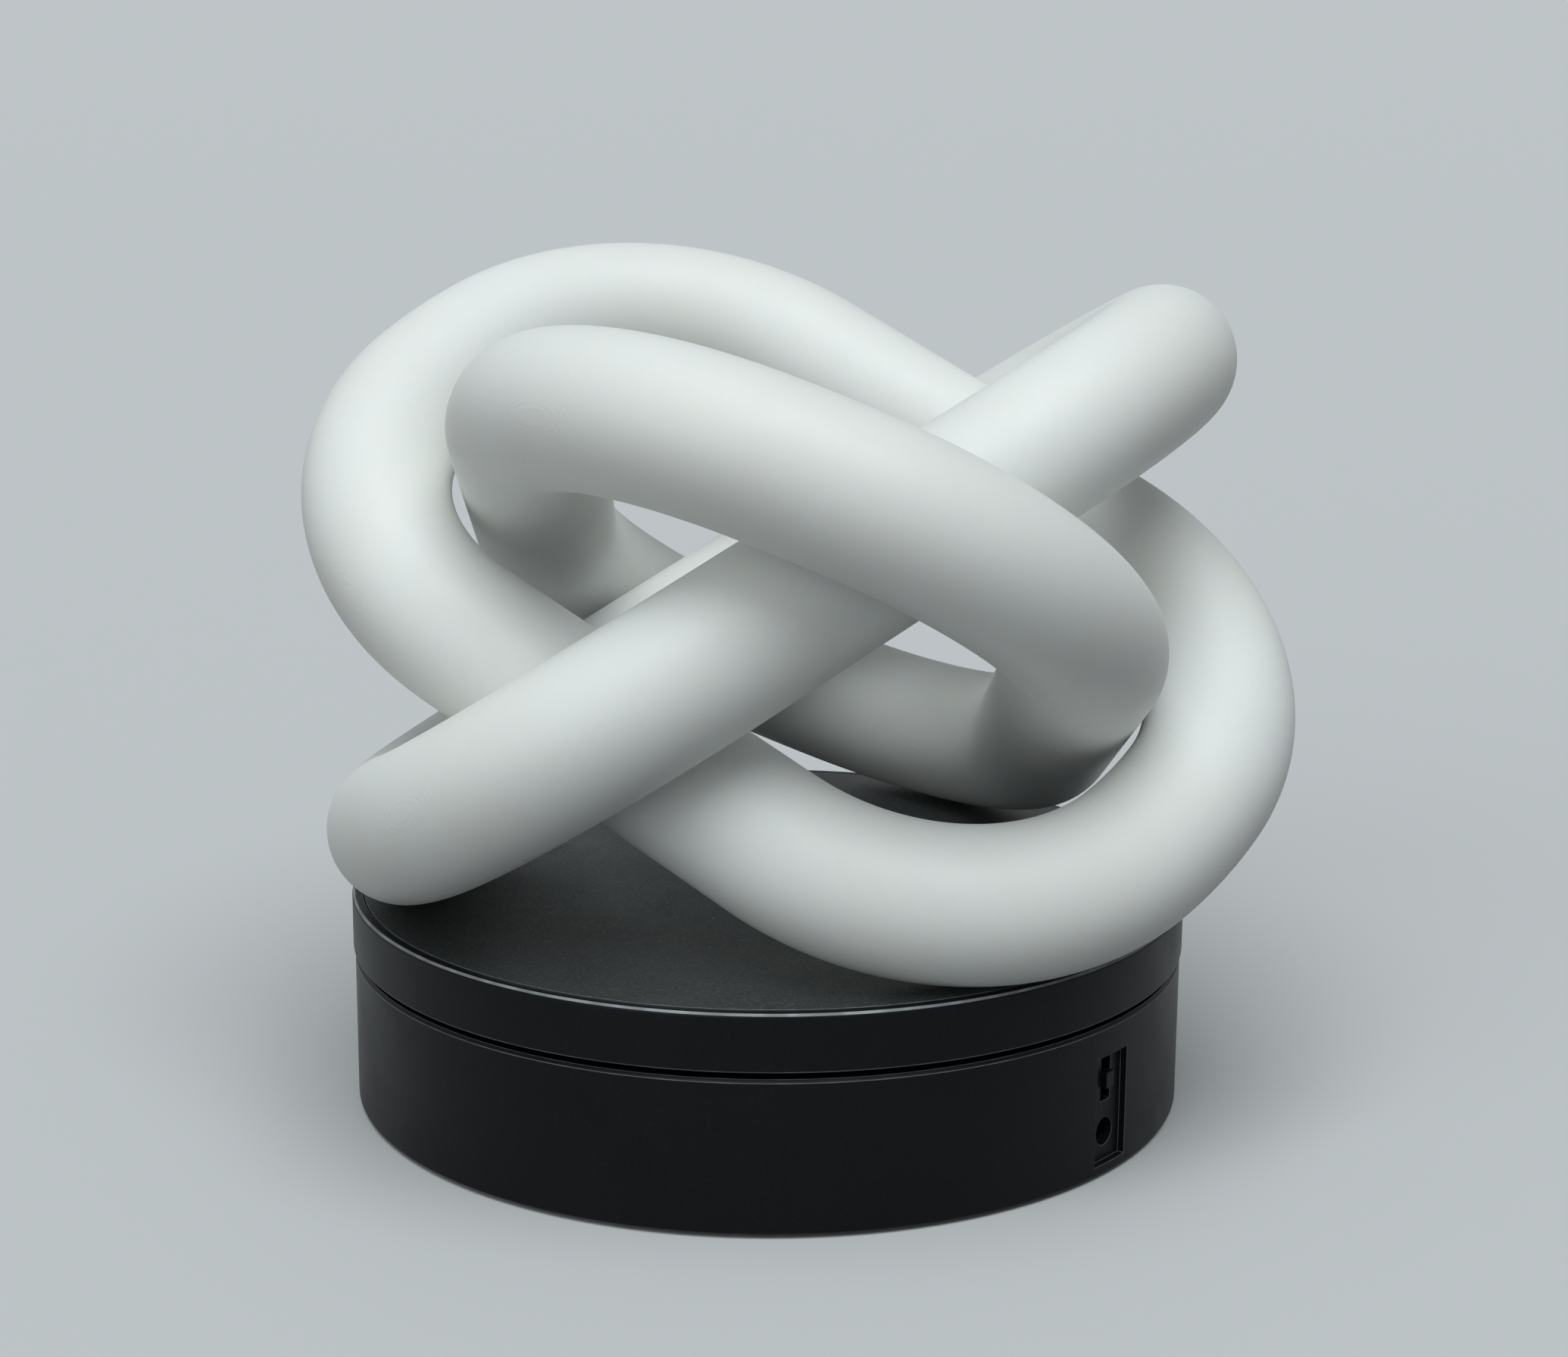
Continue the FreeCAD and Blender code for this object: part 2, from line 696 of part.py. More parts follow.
def d_shape(sketch, radius, flat):
    """A circle with one flat, square to the sketch's upright axis."""
    level = radius - flat
    reach = math.sqrt(radius.value ** 2 - level.value ** 2)
    start = math.atan2(level.value, -reach)
    end = math.atan2(level.value, reach) + math.radians(FULL_TURN)
    round_part = Part.Circle(Vector(0, 0, 0), Vector(0, 0, 1), radius.value)
    sketch.addGeometry(Part.ArcOfCircle(round_part, start, end), False)
    right, left = Vector(reach, level.value, 0), Vector(-reach, level.value, 0)
    sketch.addGeometry(Part.LineSegment(right, left), False)
    sketch.addConstraint(Sketcher.Constraint("Coincident", 0, 3, -1, 1))
    sketch.addConstraint(Sketcher.Constraint("Coincident", 0, 2, 1, 1))
    sketch.addConstraint(Sketcher.Constraint("Coincident", 1, 2, 0, 1))
    sketch.addConstraint(Sketcher.Constraint("Horizontal", 1))
    for kind, owner, size in (("Radius", (0,), radius), ("DistanceY", (-1, 1, 1, 1), level)):
        index = sketch.addConstraint(Sketcher.Constraint(kind, *owner, size.value))
        sketch.setExpression("Constraints[%d]" % index, size.text)


def make_plate():
    """The cap that turns: lip, web, skirt, roller track, hub and ribs."""
    body = new_body("turning_plate")
    lip_inside = plate_radius - S["lip_width"]
    skirt_inside = plate_radius - S["skirt_wall"]
    track_middle = roller_out
    track_in = track_middle - S["track_width"] / 2
    track_out = track_middle + S["track_width"] / 2
    hub_radius = S["hub_diameter"] / 2
    profile = flat_sketch(body, "plate_profile", role="XZ_Plane")
    outline(profile, (
        (NOUGHT, web_top), (lip_inside, web_top), (lip_inside, plate_top),
        (plate_radius - S["lip_chamfer"], plate_top), (plate_radius, plate_top - S["lip_chamfer"]),
        (plate_radius, skirt_low), (skirt_inside, skirt_low), (skirt_inside, web_low),
        (track_out, web_low), (track_out, track_low), (track_in, track_low), (track_in, web_low),
        (hub_radius, web_low), (hub_radius, hub_low), (NOUGHT, hub_low)))
    revolve(body, profile)
    rib = flat_sketch(body, "rib_profile", role="XZ_Plane")
    rib_start = (hub_radius + S["spindle_diameter"] / 2) / 2
    rectangle(rib, rib_start, web_low - S["rib_height"], track_in - S["rib_margin"],
              web_low + S["overrun"])
    ribs = pad(body, rib, S["rib_thickness"], "rib", symmetric=True)
    ring_pattern(body, [ribs], S["rib_count"], "ribs")
    bore = flat_sketch(body, "hub_bore", hub_low)
    d_shape(bore, S["spindle_diameter"] / 2 + S["fit_gap"], S["spindle_flat"])
    pocket(body, bore, S["hub_length"], "hub_hole", upwards=True)
    return body


def make_sheet_disc():
    """The smooth dark sheet let into the plate's top."""
    radius = plate_radius - S["lip_width"] - S["sheet_gap"]
    return cylinder("plate_sheet", radius, S["sheet_thickness"], NOUGHT, NOUGHT, web_top)


def make_spindle():
    """The steel spindle, with a flat where the plate's hub sits."""
    radius = S["spindle_diameter"] / 2
    low = frame_low
    high = web_low - S["side_gap"]
    body = new_body("spindle")
    section = flat_sketch(body, "spindle_section", low)
    circle(section, radius)
    pad(body, section, high - low, "spindle_rod")
    flat = flat_sketch(body, "spindle_flat", hub_low - S["side_gap"])
    rectangle(flat, -radius - S["overrun"], radius - S["spindle_flat"], radius + S["overrun"],
              radius + S["overrun"])
    pocket(body, flat, S["hub_length"] + S["overrun"], "flat_cut", upwards=True)
    return body


def make_bush():
    """The flanged brass bush that carries the spindle in the deck."""
    bore = S["spindle_diameter"] / 2 + S["running_gap"]
    outer = bore + S["bush_wall"]
    flange = outer + S["bush_flange"]
    flange_top = drum_top + S["flange_thickness"]
    body = new_body("spindle_bush")
    profile = flat_sketch(body, "bush_profile", role="XZ_Plane")
    outline(profile, (
        (bore, boss_low), (outer, boss_low), (outer, drum_top), (flange, drum_top),
        (flange, flange_top), (bore, flange_top)))
    revolve(body, profile)
    return body


# The gears

def tooth_phase(phase, teeth, next_teeth, angle):
    """Where the next gear's first tooth points when it is in mesh in a compass direction."""
    lag = (phase - angle) % (FULL_TURN / teeth)
    return angle + HALF_TURN - lag * teeth / next_teeth + HALF_TURN / next_teeth


def toothed_ring(body, name, teeth, low):
    """One level of teeth: a root disc, one tooth, and the tooth's copies."""
    module = S["gear_module"]
    pitch = module * (teeth / 2)
    root = pitch - module * ROOT_SHARE
    tip = pitch + module * TIP_SHARE
    half_tooth = module * (math.pi / 4) - S["gear_backlash"] / 2
    half_tip = half_tooth - module * (TIP_SHARE * FLANK_SLOPE_SHARE)
    half_root = half_tooth + module * (ROOT_SHARE * FLANK_SLOPE_SHARE)
    disc = flat_sketch(body, name + "_disc", low)
    circle(disc, root)
    pad(body, disc, S["gear_width"], name + "_root")
    tooth = flat_sketch(body, name + "_tooth", low)
    inner = root - module
    outline(tooth, ((inner, -half_root), (root, -half_root), (tip, -half_tip), (tip, half_tip),
                    (root, half_root), (inner, half_root)))
    first = pad(body, tooth, S["gear_width"], name + "_first_tooth")
    ring_pattern(body, [first], as_size(teeth), name + "_teeth")


def hub_between(body, name, low, high):
    """A plain round hub joins two gear levels."""
    hub = flat_sketch(body, name + "_hub", low)
    circle(hub, S["gear_module"] * (PINION_TEETH / 2 - ROOT_SHARE))
    pad(body, hub, high - low, name + "_hub_rod")


def thin_web(body, name, level):
    """Thins a gear wheel between its hub and its rim, from the top."""
    recess = flat_sketch(body, name + "_recess", level + S["gear_width"])
    circle(recess, wheel_radius - S["gear_module"] * ROOT_SHARE - S["gear_rim"])
    circle(recess, S["gear_hub"] / 2)
    pocket(body, recess, S["gear_width"] - S["gear_web"], name + "_web")


def bore_through(body, name, radius, low, length):
    hole = flat_sketch(body, name + "_bore", low)
    circle(hole, radius)
    pocket(body, hole, length, name + "_hole", upwards=True)


def make_drive_gear():
    """The wheel pressed on the plate's spindle."""
    body = new_body("drive_gear")
    toothed_ring(body, "drive", WHEEL_TEETH, first_level)
    thin_web(body, "drive", first_level)
    bore_through(body, "drive", S["spindle_diameter"] / 2 + S["fit_gap"], first_level,
                 S["gear_width"])
    return body


def make_double_gear(label, at, phase, pinion_level, wheel_level):
    """A pinion and a wheel in one moulding, free on a fixed pin."""
    body = new_body(label)
    toothed_ring(body, label + "_pinion", PINION_TEETH, pinion_level)
    hub_between(body, label, pinion_level, wheel_level)
    toothed_ring(body, label + "_wheel", WHEEL_TEETH, wheel_level)
    thin_web(body, label, wheel_level)
    length = wheel_level + S["gear_width"] - pinion_level
    bore_through(body, label, S["gear_pin"] / 2 + S["running_gap"], pinion_level, length)
    put(body, at[0], at[1], NOUGHT, heading_rotation(phase))
    return body


def make_motor_pinion(phase):
    """The small brass gear on the motor's shaft."""
    body = new_body("motor_pinion")
    toothed_ring(body, "motor_pinion", MOTOR_TEETH, third_level)
    bore_through(body, "motor_pinion", S["motor_shaft"] / 2 + S["fit_gap"], third_level,
                 S["gear_width"])
    put(body, motor_at[0], motor_at[1], NOUGHT, heading_rotation(phase))
    return body


def make_gears():
    second_phase = tooth_phase(0, WHEEL_TEETH, PINION_TEETH, SECOND_ANGLE)
    first_phase = tooth_phase(second_phase, WHEEL_TEETH, PINION_TEETH, FIRST_ANGLE)
    motor_phase = tooth_phase(first_phase, WHEEL_TEETH, MOTOR_TEETH, MOTOR_ANGLE)
    return [
        make_drive_gear(),
        make_double_gear("second_gear", second_at, second_phase, first_level, second_level),
        make_double_gear("first_gear", first_at, first_phase, second_level, third_level),
        make_motor_pinion(motor_phase),
    ]


def make_gear_pins():
    """The fixed pins of the two middle gears, from the frame up into the deck's bosses."""
    high = deck_low - S["side_gap"]
    pins = [
        cylinder("gear_pin_%d" % index, S["gear_pin"] / 2, high - frame_low, at[0], at[1], frame_low)
        for index, at in enumerate((second_at, first_at))
    ]
    return group("gear_pins", pins)


def arm(name, start, end, width, thickness, low):
    """A flat bar from one point to another."""
    run_x, run_y = end[0].value - start[0].value, end[1].value - start[1].value
    angle = math.degrees(math.atan2(run_y, run_x))
    turn = math.radians(angle)
    length = (end[0] - start[0]) * math.cos(turn) + (end[1] - start[1]) * math.sin(turn)
    bar = document.addObject("Part::Box", name)
    bind(bar, "Length", length)
    bind(bar, "Width", width)
    bind(bar, "Height", thickness)
    put(bar, start[0] + width * (math.sin(turn) / 2), start[1] - width * (math.cos(turn) / 2), low,
        heading_rotation(angle))
    return bar


def make_gear_frame():
    """The plate under the gears: eyes round the pins and ears on the pillars."""
    eyes = (spindle_at, second_at, first_at) + PILLARS
    solids = [
        cylinder("frame_eye_%d" % i, S["frame_eye"] / 2, S["frame_thickness"], at[0], at[1],
                 frame_low)
        for i, at in enumerate(eyes)
    ]
    links = ((spindle_at, second_at), (second_at, first_at), (spindle_at, PILLARS[0]),
             (second_at, PILLARS[1]), (second_at, PILLARS[2]))
    for i, (start, end) in enumerate(links):
        solids.append(arm("frame_arm_%d" % i, start, end, S["frame_arm"], S["frame_thickness"],
                          frame_low))
    spacer = second_level - S["side_gap"] - frame_low
    solids.append(cylinder("frame_spacer", S["gear_hub"] / 3, spacer, first_at[0], first_at[1],
                           frame_low))
    whole = fuse("gear_frame_blank", solids)
    tall = spacer + S["overrun"] * 2
    holes = [
        cylinder("frame_spindle_hole", S["spindle_diameter"] / 2 + S["running_gap"], tall,
                 NOUGHT, NOUGHT, frame_low - S["overrun"])
    ]
    for i, at in enumerate((second_at, first_at)):
        holes.append(cylinder("frame_pin_hole_%d" % i, S["gear_pin"] / 2 + S["fit_gap"], tall,
                              at[0], at[1], frame_low - S["overrun"]))
    for i, at in enumerate(PILLARS):
        holes.append(cylinder("frame_screw_hole_%d" % i, small_hole, tall, at[0], at[1],
                              frame_low - S["overrun"]))
    return cut("gear_frame", whole, holes)


def screw(name, shank, length, head, head_height, x, y, head_low):
    """A pan-head screw driven upwards, with a cross in its head."""
    rod = cylinder(name + "_shank", shank / 2, length, x, y, head_low + head_height)
    cap = cylinder(name + "_head", head / 2, head_height, x, y, head_low)
    solid = fuse(name + "_blank", [cap, rod])
    reach, width, depth = head * CROSS_SHARE, S["screw_slot"], head_height / 2
    slots = [
        block(name + "_slot_a", reach, width, depth + S["overrun"], x - reach / 2, y - width / 2,
              head_low - S["overrun"]),
        block(name + "_slot_b", width, reach, depth + S["overrun"], x - width / 2, y - reach / 2,
              head_low - S["overrun"]),
    ]
    return cut(name, solid, slots)


def make_frame_screws():
    """Three screws through the gear frame into its pillars."""
    return group("gear_frame_screws", [
        screw("frame_screw_%d" % i, S["small_screw"], S["small_screw_length"], S["small_head"],
              S["small_head_height"], at[0], at[1], frame_low - S["small_head_height"])
        for i, at in enumerate(PILLARS)
    ])


# The motor

def tab_end(side):
    """The outer end of one of the motor's two solder tabs."""
    reach = S["motor_diameter"] / 2 + S["terminal_length"]
    middle = along(TERMINAL_ANGLE, reach, motor_at)
    return along(TERMINAL_ANGLE + QUARTER_TURN, S["lead_pitch"] * (side / 2), middle)


def make_motor():
    """The flat motor: its can, its end cap with two tabs, and its shaft."""
    can = new_body("motor_can")
    bore = S["motor_shaft"] / 2 + S["running_gap"]
    radius = S["motor_diameter"] / 2
    can_low = motor_low + S["motor_cap_thickness"]
    nose_top = motor_top + S["motor_nose_height"]
    nose = S["motor_nose"] / 2
    edge = S["motor_edge"]
    profile = flat_sketch(can, "can_profile", role="XZ_Plane")
    outline(profile, (
        (bore, can_low), (radius, can_low), (radius, motor_top - edge), (radius - edge, motor_top),
        (nose, motor_top), (nose, nose_top), (bore, nose_top)))
    revolve(can, profile)
    holes = flat_sketch(can, "can_holes", motor_top)
    for side in (-1, 1):
        across = along(MOTOR_ANGLE + QUARTER_TURN * side, S["motor_hole_spread"] / 2)
        circle(holes, small_hole, *across)
    pocket(can, holes, S["small_screw_length"] / 2, "can_screw_holes")
    put(can, motor_at[0], motor_at[1], NOUGHT)
    cap = cylinder("motor_cap_disc", radius - edge / 2, S["motor_cap_thickness"], motor_at[0],
                   motor_at[1], motor_low)
    tabs = []
    for side in (-1, 1):
        x, y = tab_end(side)
        inner = along(TERMINAL_ANGLE + HALF_TURN, S["terminal_length"] * 2, (x, y))
        tabs.append(arm("motor_tab_%d" % (side + 1), inner, (x, y), S["terminal_width"],
                        S["terminal_thickness"], lead_height - S["terminal_thickness"] / 2))
    end_cap = fuse("motor_end_cap", [cap] + tabs)
    shaft_low = can_low + S["side_gap"]
    shaft_high = third_level + S["gear_width"]
    shaft = cylinder("motor_shaft", S["motor_shaft"] / 2, shaft_high - shaft_low, motor_at[0],
                     motor_at[1], shaft_low)
    return [can, end_cap, shaft]


def make_motor_bracket():
    """The steel plate that hangs the motor from two pillars of the deck."""
    thick = S["bracket_thickness"]
    disc = cylinder("bracket_disc", S["motor_diameter"] / 2 - S["motor_edge"], thick, motor_at[0],
                    motor_at[1], motor_top)
    solids = [disc]
    for i, ear in enumerate(BRACKET_EARS):
        solids.append(cylinder("bracket_ear_%d" % i, S["bracket_arm"] / 2, thick, ear[0], ear[1],
                               motor_top))
        solids.append(arm("bracket_arm_%d" % i, motor_at, ear, S["bracket_arm"], thick, motor_top))
    low, tall = motor_top - S["overrun"], thick + S["overrun"] * 2
    holes = [cylinder("bracket_nose_hole", S["motor_nose"] / 2 + S["running_gap"], tall,
                      motor_at[0], motor_at[1], low)]
    for i, at in enumerate(BRACKET_EARS + MOTOR_HOLES):
        holes.append(cylinder("bracket_hole_%d" % i, small_hole, tall, at[0], at[1], low))
    return cut("motor_bracket", fuse("bracket_blank", solids), holes)


def make_motor_screws():
    """Two short screws down into the motor and two up into the pillars."""
    turned_over = Rotation(Vector(1, 0, 0), HALF_TURN)
    length = S["small_screw_length"] / 2
    solids = []
    for i, at in enumerate(MOTOR_HOLES):
        reach = S["bracket_thickness"] + length - S["overrun"]
        rod = cylinder("motor_screw_rod_%d" % i, S["small_screw"] / 2, reach, at[0], at[1],
                       bracket_top, turned_over)
        cap = cylinder("motor_screw_cap_%d" % i, S["small_head"] / 2, S["small_head_height"],
                       at[0], at[1], bracket_top)
        solids.append(fuse("motor_screw_%d" % i, [cap, rod]))
    for i, at in enumerate(BRACKET_EARS):
        solids.append(screw("bracket_screw_%d" % i, S["small_screw"],
                            S["bracket_thickness"] + length, S["small_head"],
                            S["small_head_height"], at[0], at[1],
                            motor_top - S["small_head_height"]))
    return group("motor_screws", solids)


# The drum

def make_drum():
    """The fixed housing: wall and deck, with everything that is moulded on them."""
    body = new_body("drum_housing")
    boss_radius = bush_radius + S["bush_boss_wall"]
    chamfer = S["drum_chamfer"]
    profile = flat_sketch(body, "drum_profile", role="XZ_Plane")
    outline(profile, (
        (bush_radius, boss_low), (boss_radius, boss_low), (boss_radius, deck_low),
        (drum_inside, deck_low), (drum_inside, drum_foot), (drum_radius, drum_foot),
        (drum_radius, drum_top - chamfer), (drum_radius - chamfer, drum_top),
        (bush_radius, drum_top)))
    revolve(body, profile)
    add_posts(body)
    add_roller_ears(body)
    add_port(body)
    return body


def add_posts(body):
    """Bosses and pillars under the deck, each with its pilot hole."""
    join = S["overrun"]
    cover_boss = flat_sketch(body, "cover_bosses", cover_top)
    place = along(COVER_SCREW_ANGLE, cover_screw_out)
    circle(cover_boss, S["boss_diameter"] / 2, *place)
    first = pad(body, cover_boss, deck_low + join - cover_top, "cover_boss")
    hole = flat_sketch(body, "cover_boss_hole", cover_top)
    circle(hole, S["cover_screw"] / 2 + S["running_gap"], *place)
    depth = pocket(body, hole, S["cover_screw_length"], "cover_boss_bore", upwards=True)
    ring_pattern(body, [first, depth], S["cover_screw_count"], "cover_boss_copies")
    pillar = S["pillar_diameter"] / 2
    boss, pin_hole = S["gear_pin"] * PIN_BOSS_SHARE, S["gear_pin"] / 2 + S["fit_gap"]
    posts = (
        ("gear_pillars", PILLARS, pillar, frame_top, small_hole),
        ("motor_pillars", BRACKET_EARS, pillar, bracket_top, small_hole),
        ("second_pin_boss", (second_at,), boss, gear_top(second_level), pin_hole),
        ("first_pin_boss", (first_at,), boss, gear_top(third_level), pin_hole),
    )
    for name, places, radius, low, hole_radius in posts:
        rods = flat_sketch(body, name, low)
        holes = flat_sketch(body, name + "_holes", low)
        for at in places:
            circle(rods, radius, *at)
            circle(holes, hole_radius, *at)
        pad(body, rods, deck_low + join - low, name + "_pad")
        pocket(body, holes, deck_low - low, name + "_bores", upwards=True)


def gear_top(level):
    """Just above a gear level, where the boss that keeps the gear down ends."""
    return level + S["gear_width"] + S["side_gap"]


def add_roller_ears(body):
    """Pairs of ears on the deck, drilled for the rollers' pins."""
    middle = roller_out
    inner = S["roller_width"] / 2 + S["side_gap"]
    outer = inner + S["ear_thickness"]
    half = S["ear_width"] / 2
    ears = flat_sketch(body, "roller_ears", drum_top - S["overrun"])
    for low, high in ((middle - outer, middle - inner), (middle + inner, middle + outer)):
        rectangle(ears, -half, low, half, high)
    height = roller_axis - drum_top + half * EAR_TOP_SHARE + S["overrun"]
    walls = pad(body, ears, height, "roller_ear")
    drill = side_sketch(body, "roller_pin_drill", ROLLER_ANGLE, middle + outer + S["overrun"])
    circle(drill, S["roller_pin"] / 2 + S["fit_gap"], NOUGHT, roller_axis)
    holes = pocket(body, drill, outer * 2 + S["overrun"] * 2, "roller_pin_hole")
    ring_pattern(body, [walls, holes], S["roller_count"], "roller_ear_copies")


def add_port(body):
    """The recess in the side, the thicker wall behind it and its two windows."""
    inside = port_back()
    pad_half = S["port_pad_width"] / 2
    thick = flat_sketch(body, "port_pad", cover_top + S["side_gap"])
    rectangle(thick, inside, -pad_half, drum_inside + S["overrun"] * 2, pad_half, PORT)
    pad(body, thick, deck_low + S["overrun"] - cover_top - S["side_gap"], "port_wall")
    surface = drum_radius + S["overrun"]
    half = S["port_width"] / 2
    low = drum_foot + S["port_sill"]
    recess = side_sketch(body, "port_recess", PORT, surface)
    rectangle(recess, -half, low, half, low + S["port_height"])
    pocket(body, recess, S["port_depth"] + S["overrun"], "port_cut")
    slot = side_sketch(body, "switch_slot", PORT, surface)
    knob = S["knob_width"] / 2 + S["side_gap"]
    travel = S["knob_length"] / 2 + S["switch_travel"] + S["side_gap"]
    middle = drum_foot + S["switch_height"]
    rectangle(slot, -knob, middle - travel, knob, middle + travel)
    through = surface - inside + S["overrun"]
    pocket(body, slot, through, "switch_window")
    hole = side_sketch(body, "socket_hole", PORT, surface)
    circle(hole, S["socket_bore"] / 2 + S["side_gap"], NOUGHT, drum_foot + S["socket_height"])
    pocket(body, hole, through, "socket_window")


def port_floor():
    """How far out the floor of the recess lies."""
    return drum_radius - S["port_depth"]


def port_back():
    """How far out the inner face of the wall behind the recess lies."""
    return drum_inside - S["port_pad_depth"]


def make_rollers():
    """Each roller is a small flanged wheel that turns on its own pin."""
    made = []
    count = int(S["roller_count"].value)
    middle = roller_out
    half = S["roller_width"] / 2
    bore = S["roller_pin"] / 2 + S["running_gap"]
    edge = S["roller_edge"]
    names = ("back", "left", "right")
    pins = []
    for index in range(count):
        heading = ROLLER_ANGLE + FULL_TURN * index / count
        name = names[index] if index < len(names) else "number_%d" % index
        body = new_body("roller_" + name)
        profile = flat_sketch(body, "roller_profile_" + name, role="XZ_Plane")
        outline(profile, (
            (bore, -half), (roller_radius - edge, -half), (roller_radius, edge - half),
            (roller_radius, half - edge), (roller_radius - edge, half), (bore, half)))
        revolve(body, profile)
        lying = heading_rotation(heading) * Rotation(Vector(0, 1, 0), QUARTER_TURN)
        at = along(heading, middle)
        put(body, at[0], at[1], roller_axis, lying)
        made.append(body)
        span = (half + S["side_gap"] + S["ear_thickness"]) * 2
        start = along(heading, middle - span / 2)
        pins.append(cylinder("roller_pin_" + name, S["roller_pin"] / 2, span, start[0], start[1],
                             roller_axis, lying))
    made.append(group("roller_pins", pins))
    return made


# The cover, its lid and what they hold

def make_cover():
    """The bottom cover with the battery case moulded on it."""
    body = new_body("bottom_cover")
    disc = flat_sketch(body, "cover_disc", drum_foot)
    circle(disc, cover_radius)
    pad(body, disc, S["cover_thickness"], "cover_plate")
    wall = S["case_wall"]
    high_x = case_low_x + case_size_x
    outer = flat_sketch(body, "case_outside", cover_top - S["overrun"])
    rectangle(outer, case_low_x - wall, case_low_y - wall, high_x + wall, case_high_y + wall)
    pad(body, outer, case_roof + wall - cover_top + S["overrun"], "case_block")
    inner = flat_sketch(body, "case_inside", drum_foot)
    rectangle(inner, case_low_x, case_low_y, high_x, case_high_y)
    pocket(body, inner, case_roof - drum_foot, "case_hollow", upwards=True)
    rebate = flat_sketch(body, "lid_rebate", drum_foot)
    rectangle(rebate, case_low_x, case_low_y - S["lid_travel"] - S["lid_gap"], high_x,
              case_low_y + S["overrun"])
    pocket(body, rebate, case_floor - drum_foot, "lid_slide_room", upwards=True)
    slot = flat_sketch(body, "tongue_slot", cover_top)
    half = S["tongue_width"] / 2 + S["lid_gap"]
    rectangle(slot, case_middle_x - half, case_high_y - S["overrun"], case_middle_x + half,
              case_high_y + wall + S["overrun"])
    pocket(body, slot, S["tongue_thickness"] + S["lid_gap"] * 2, "tongue_opening", upwards=True)
    add_cover_seats(body)
    return body


def add_cover_seats(body):
    """Seats for the feet, and holes for the screws."""
    seat_place = along(FOOT_ANGLE, foot_out)
    foot = flat_sketch(body, "foot_seat", drum_foot)
    circle(foot, S["foot_diameter"] / 2 + S["fit_gap"], *seat_place)
    first = pocket(body, foot, S["foot_seat"], "foot_seat_cut", upwards=True)
    ring_pattern(body, [first], S["foot_count"], "foot_seats")
    place = along(COVER_SCREW_ANGLE, cover_screw_out)
    hole = flat_sketch(body, "cover_screw_hole", drum_foot)
    circle(hole, S["cover_screw"] / 2 + S["running_gap"], *place)
    through = pocket(body, hole, S["cover_thickness"], "cover_screw_bore", upwards=True)
    sink = flat_sketch(body, "cover_screw_sink", drum_foot)
    circle(sink, S["cover_head"] / 2 + S["side_gap"], *place)
    wide = pocket(body, sink, S["cover_head_height"] + S["lid_gap"], "cover_screw_seat",
                  upwards=True)
    ring_pattern(body, [through, wide], S["cover_screw_count"], "cover_screw_seats")


def make_cover_screws():
    """The screws that hold the bottom cover."""
    low = drum_foot + S["lid_gap"]
    count = int(S["cover_screw_count"].value)
    length = S["cover_screw_length"] - S["overrun"]
    solids = []
    for index in range(count):
        at = along(COVER_SCREW_ANGLE + FULL_TURN * index / count, cover_screw_out)
        solids.append(screw("cover_screw_%d" % index, S["cover_screw"], length, S["cover_head"],
                            S["cover_head_height"], at[0], at[1], low))
    return group("cover_screws", solids)


def make_feet():
    """The rubber feet, pushed into their seats."""
    count = int(S["foot_count"].value)
    feet = []
    for index in range(count):
        at = along(FOOT_ANGLE + FULL_TURN * index / count, foot_out)
        feet.append(cylinder("rubber_foot_%d" % index, S["foot_diameter"] / 2,
                             S["foot_proud"] + S["foot_seat"], at[0], at[1], NOUGHT))
    return group("rubber_feet", feet)


def make_lid():
    """The battery lid: a panel with a tongue at its far end and finger grooves."""
    body = new_body("battery_lid")
    gap = S["lid_gap"]
    low_y, high_y = case_low_y + gap, case_high_y - gap
    panel = flat_sketch(body, "lid_panel", drum_foot)
    rectangle(panel, case_low_x + gap, low_y, case_low_x + case_size_x - gap, high_y)
    pad(body, panel, S["lid_thickness"], "lid_plate")
    half = S["tongue_width"] / 2
    low_x, high_x = case_middle_x - half, case_middle_x + half
    tongue_low = cover_top + gap
    post = flat_sketch(body, "tongue_post", drum_foot)
    rectangle(post, low_x, high_y - S["tongue_reach"], high_x, high_y)
    pad(body, post, tongue_low + S["tongue_thickness"] - drum_foot, "tongue_upright")
    tongue = flat_sketch(body, "tongue", tongue_low)
    rectangle(tongue, low_x, high_y - S["tongue_reach"], high_x, high_y + S["tongue_reach"])
    pad(body, tongue, S["tongue_thickness"], "tongue_end")
    groove = flat_sketch(body, "lid_grooves", drum_foot)
    half = S["grip_length"] / 2
    for index in range(int(S["grip_count"].value)):
        start = low_y + S["grip_pitch"] * (index + 1)
        rectangle(groove, case_middle_x - half, start, case_middle_x + half,
                  start + S["grip_width"])
    pocket(body, groove, S["grip_depth"], "finger_grooves", upwards=True)
    return body


def cell_middle_x(index):
    """The middle of one of the two cells, across the case."""
    return case_low_x + S["cell_gap"] * (index + 1) + S["cell_diameter"] * (index + 1 / 2)


def make_cells():
    """Two cells side by side, one each way round."""
    solids = []
    middle_z = case_floor + S["cell_gap"] + S["cell_diameter"] / 2
    low_y = case_low_y + S["contact_depth"]
    for index in range(2):
        middle_x = cell_middle_x(index)
        toward_back = Rotation(Vector(1, 0, 0), -QUARTER_TURN)
        start = low_y if index == 0 else low_y + S["nub_length"]
        can = cylinder("cell_can_%d" % index, S["cell_diameter"] / 2, S["cell_length"], middle_x,
                       start, middle_z, toward_back)
        nub_start = low_y + S["cell_length"] if index == 0 else low_y
        nub = cylinder("cell_nub_%d" % index, S["nub_diameter"] / 2, S["nub_length"], middle_x,
                       nub_start, middle_z, toward_back)
        solids.append(fuse("cell_%d" % index, [can, nub]))
    return group("battery_cells", solids)


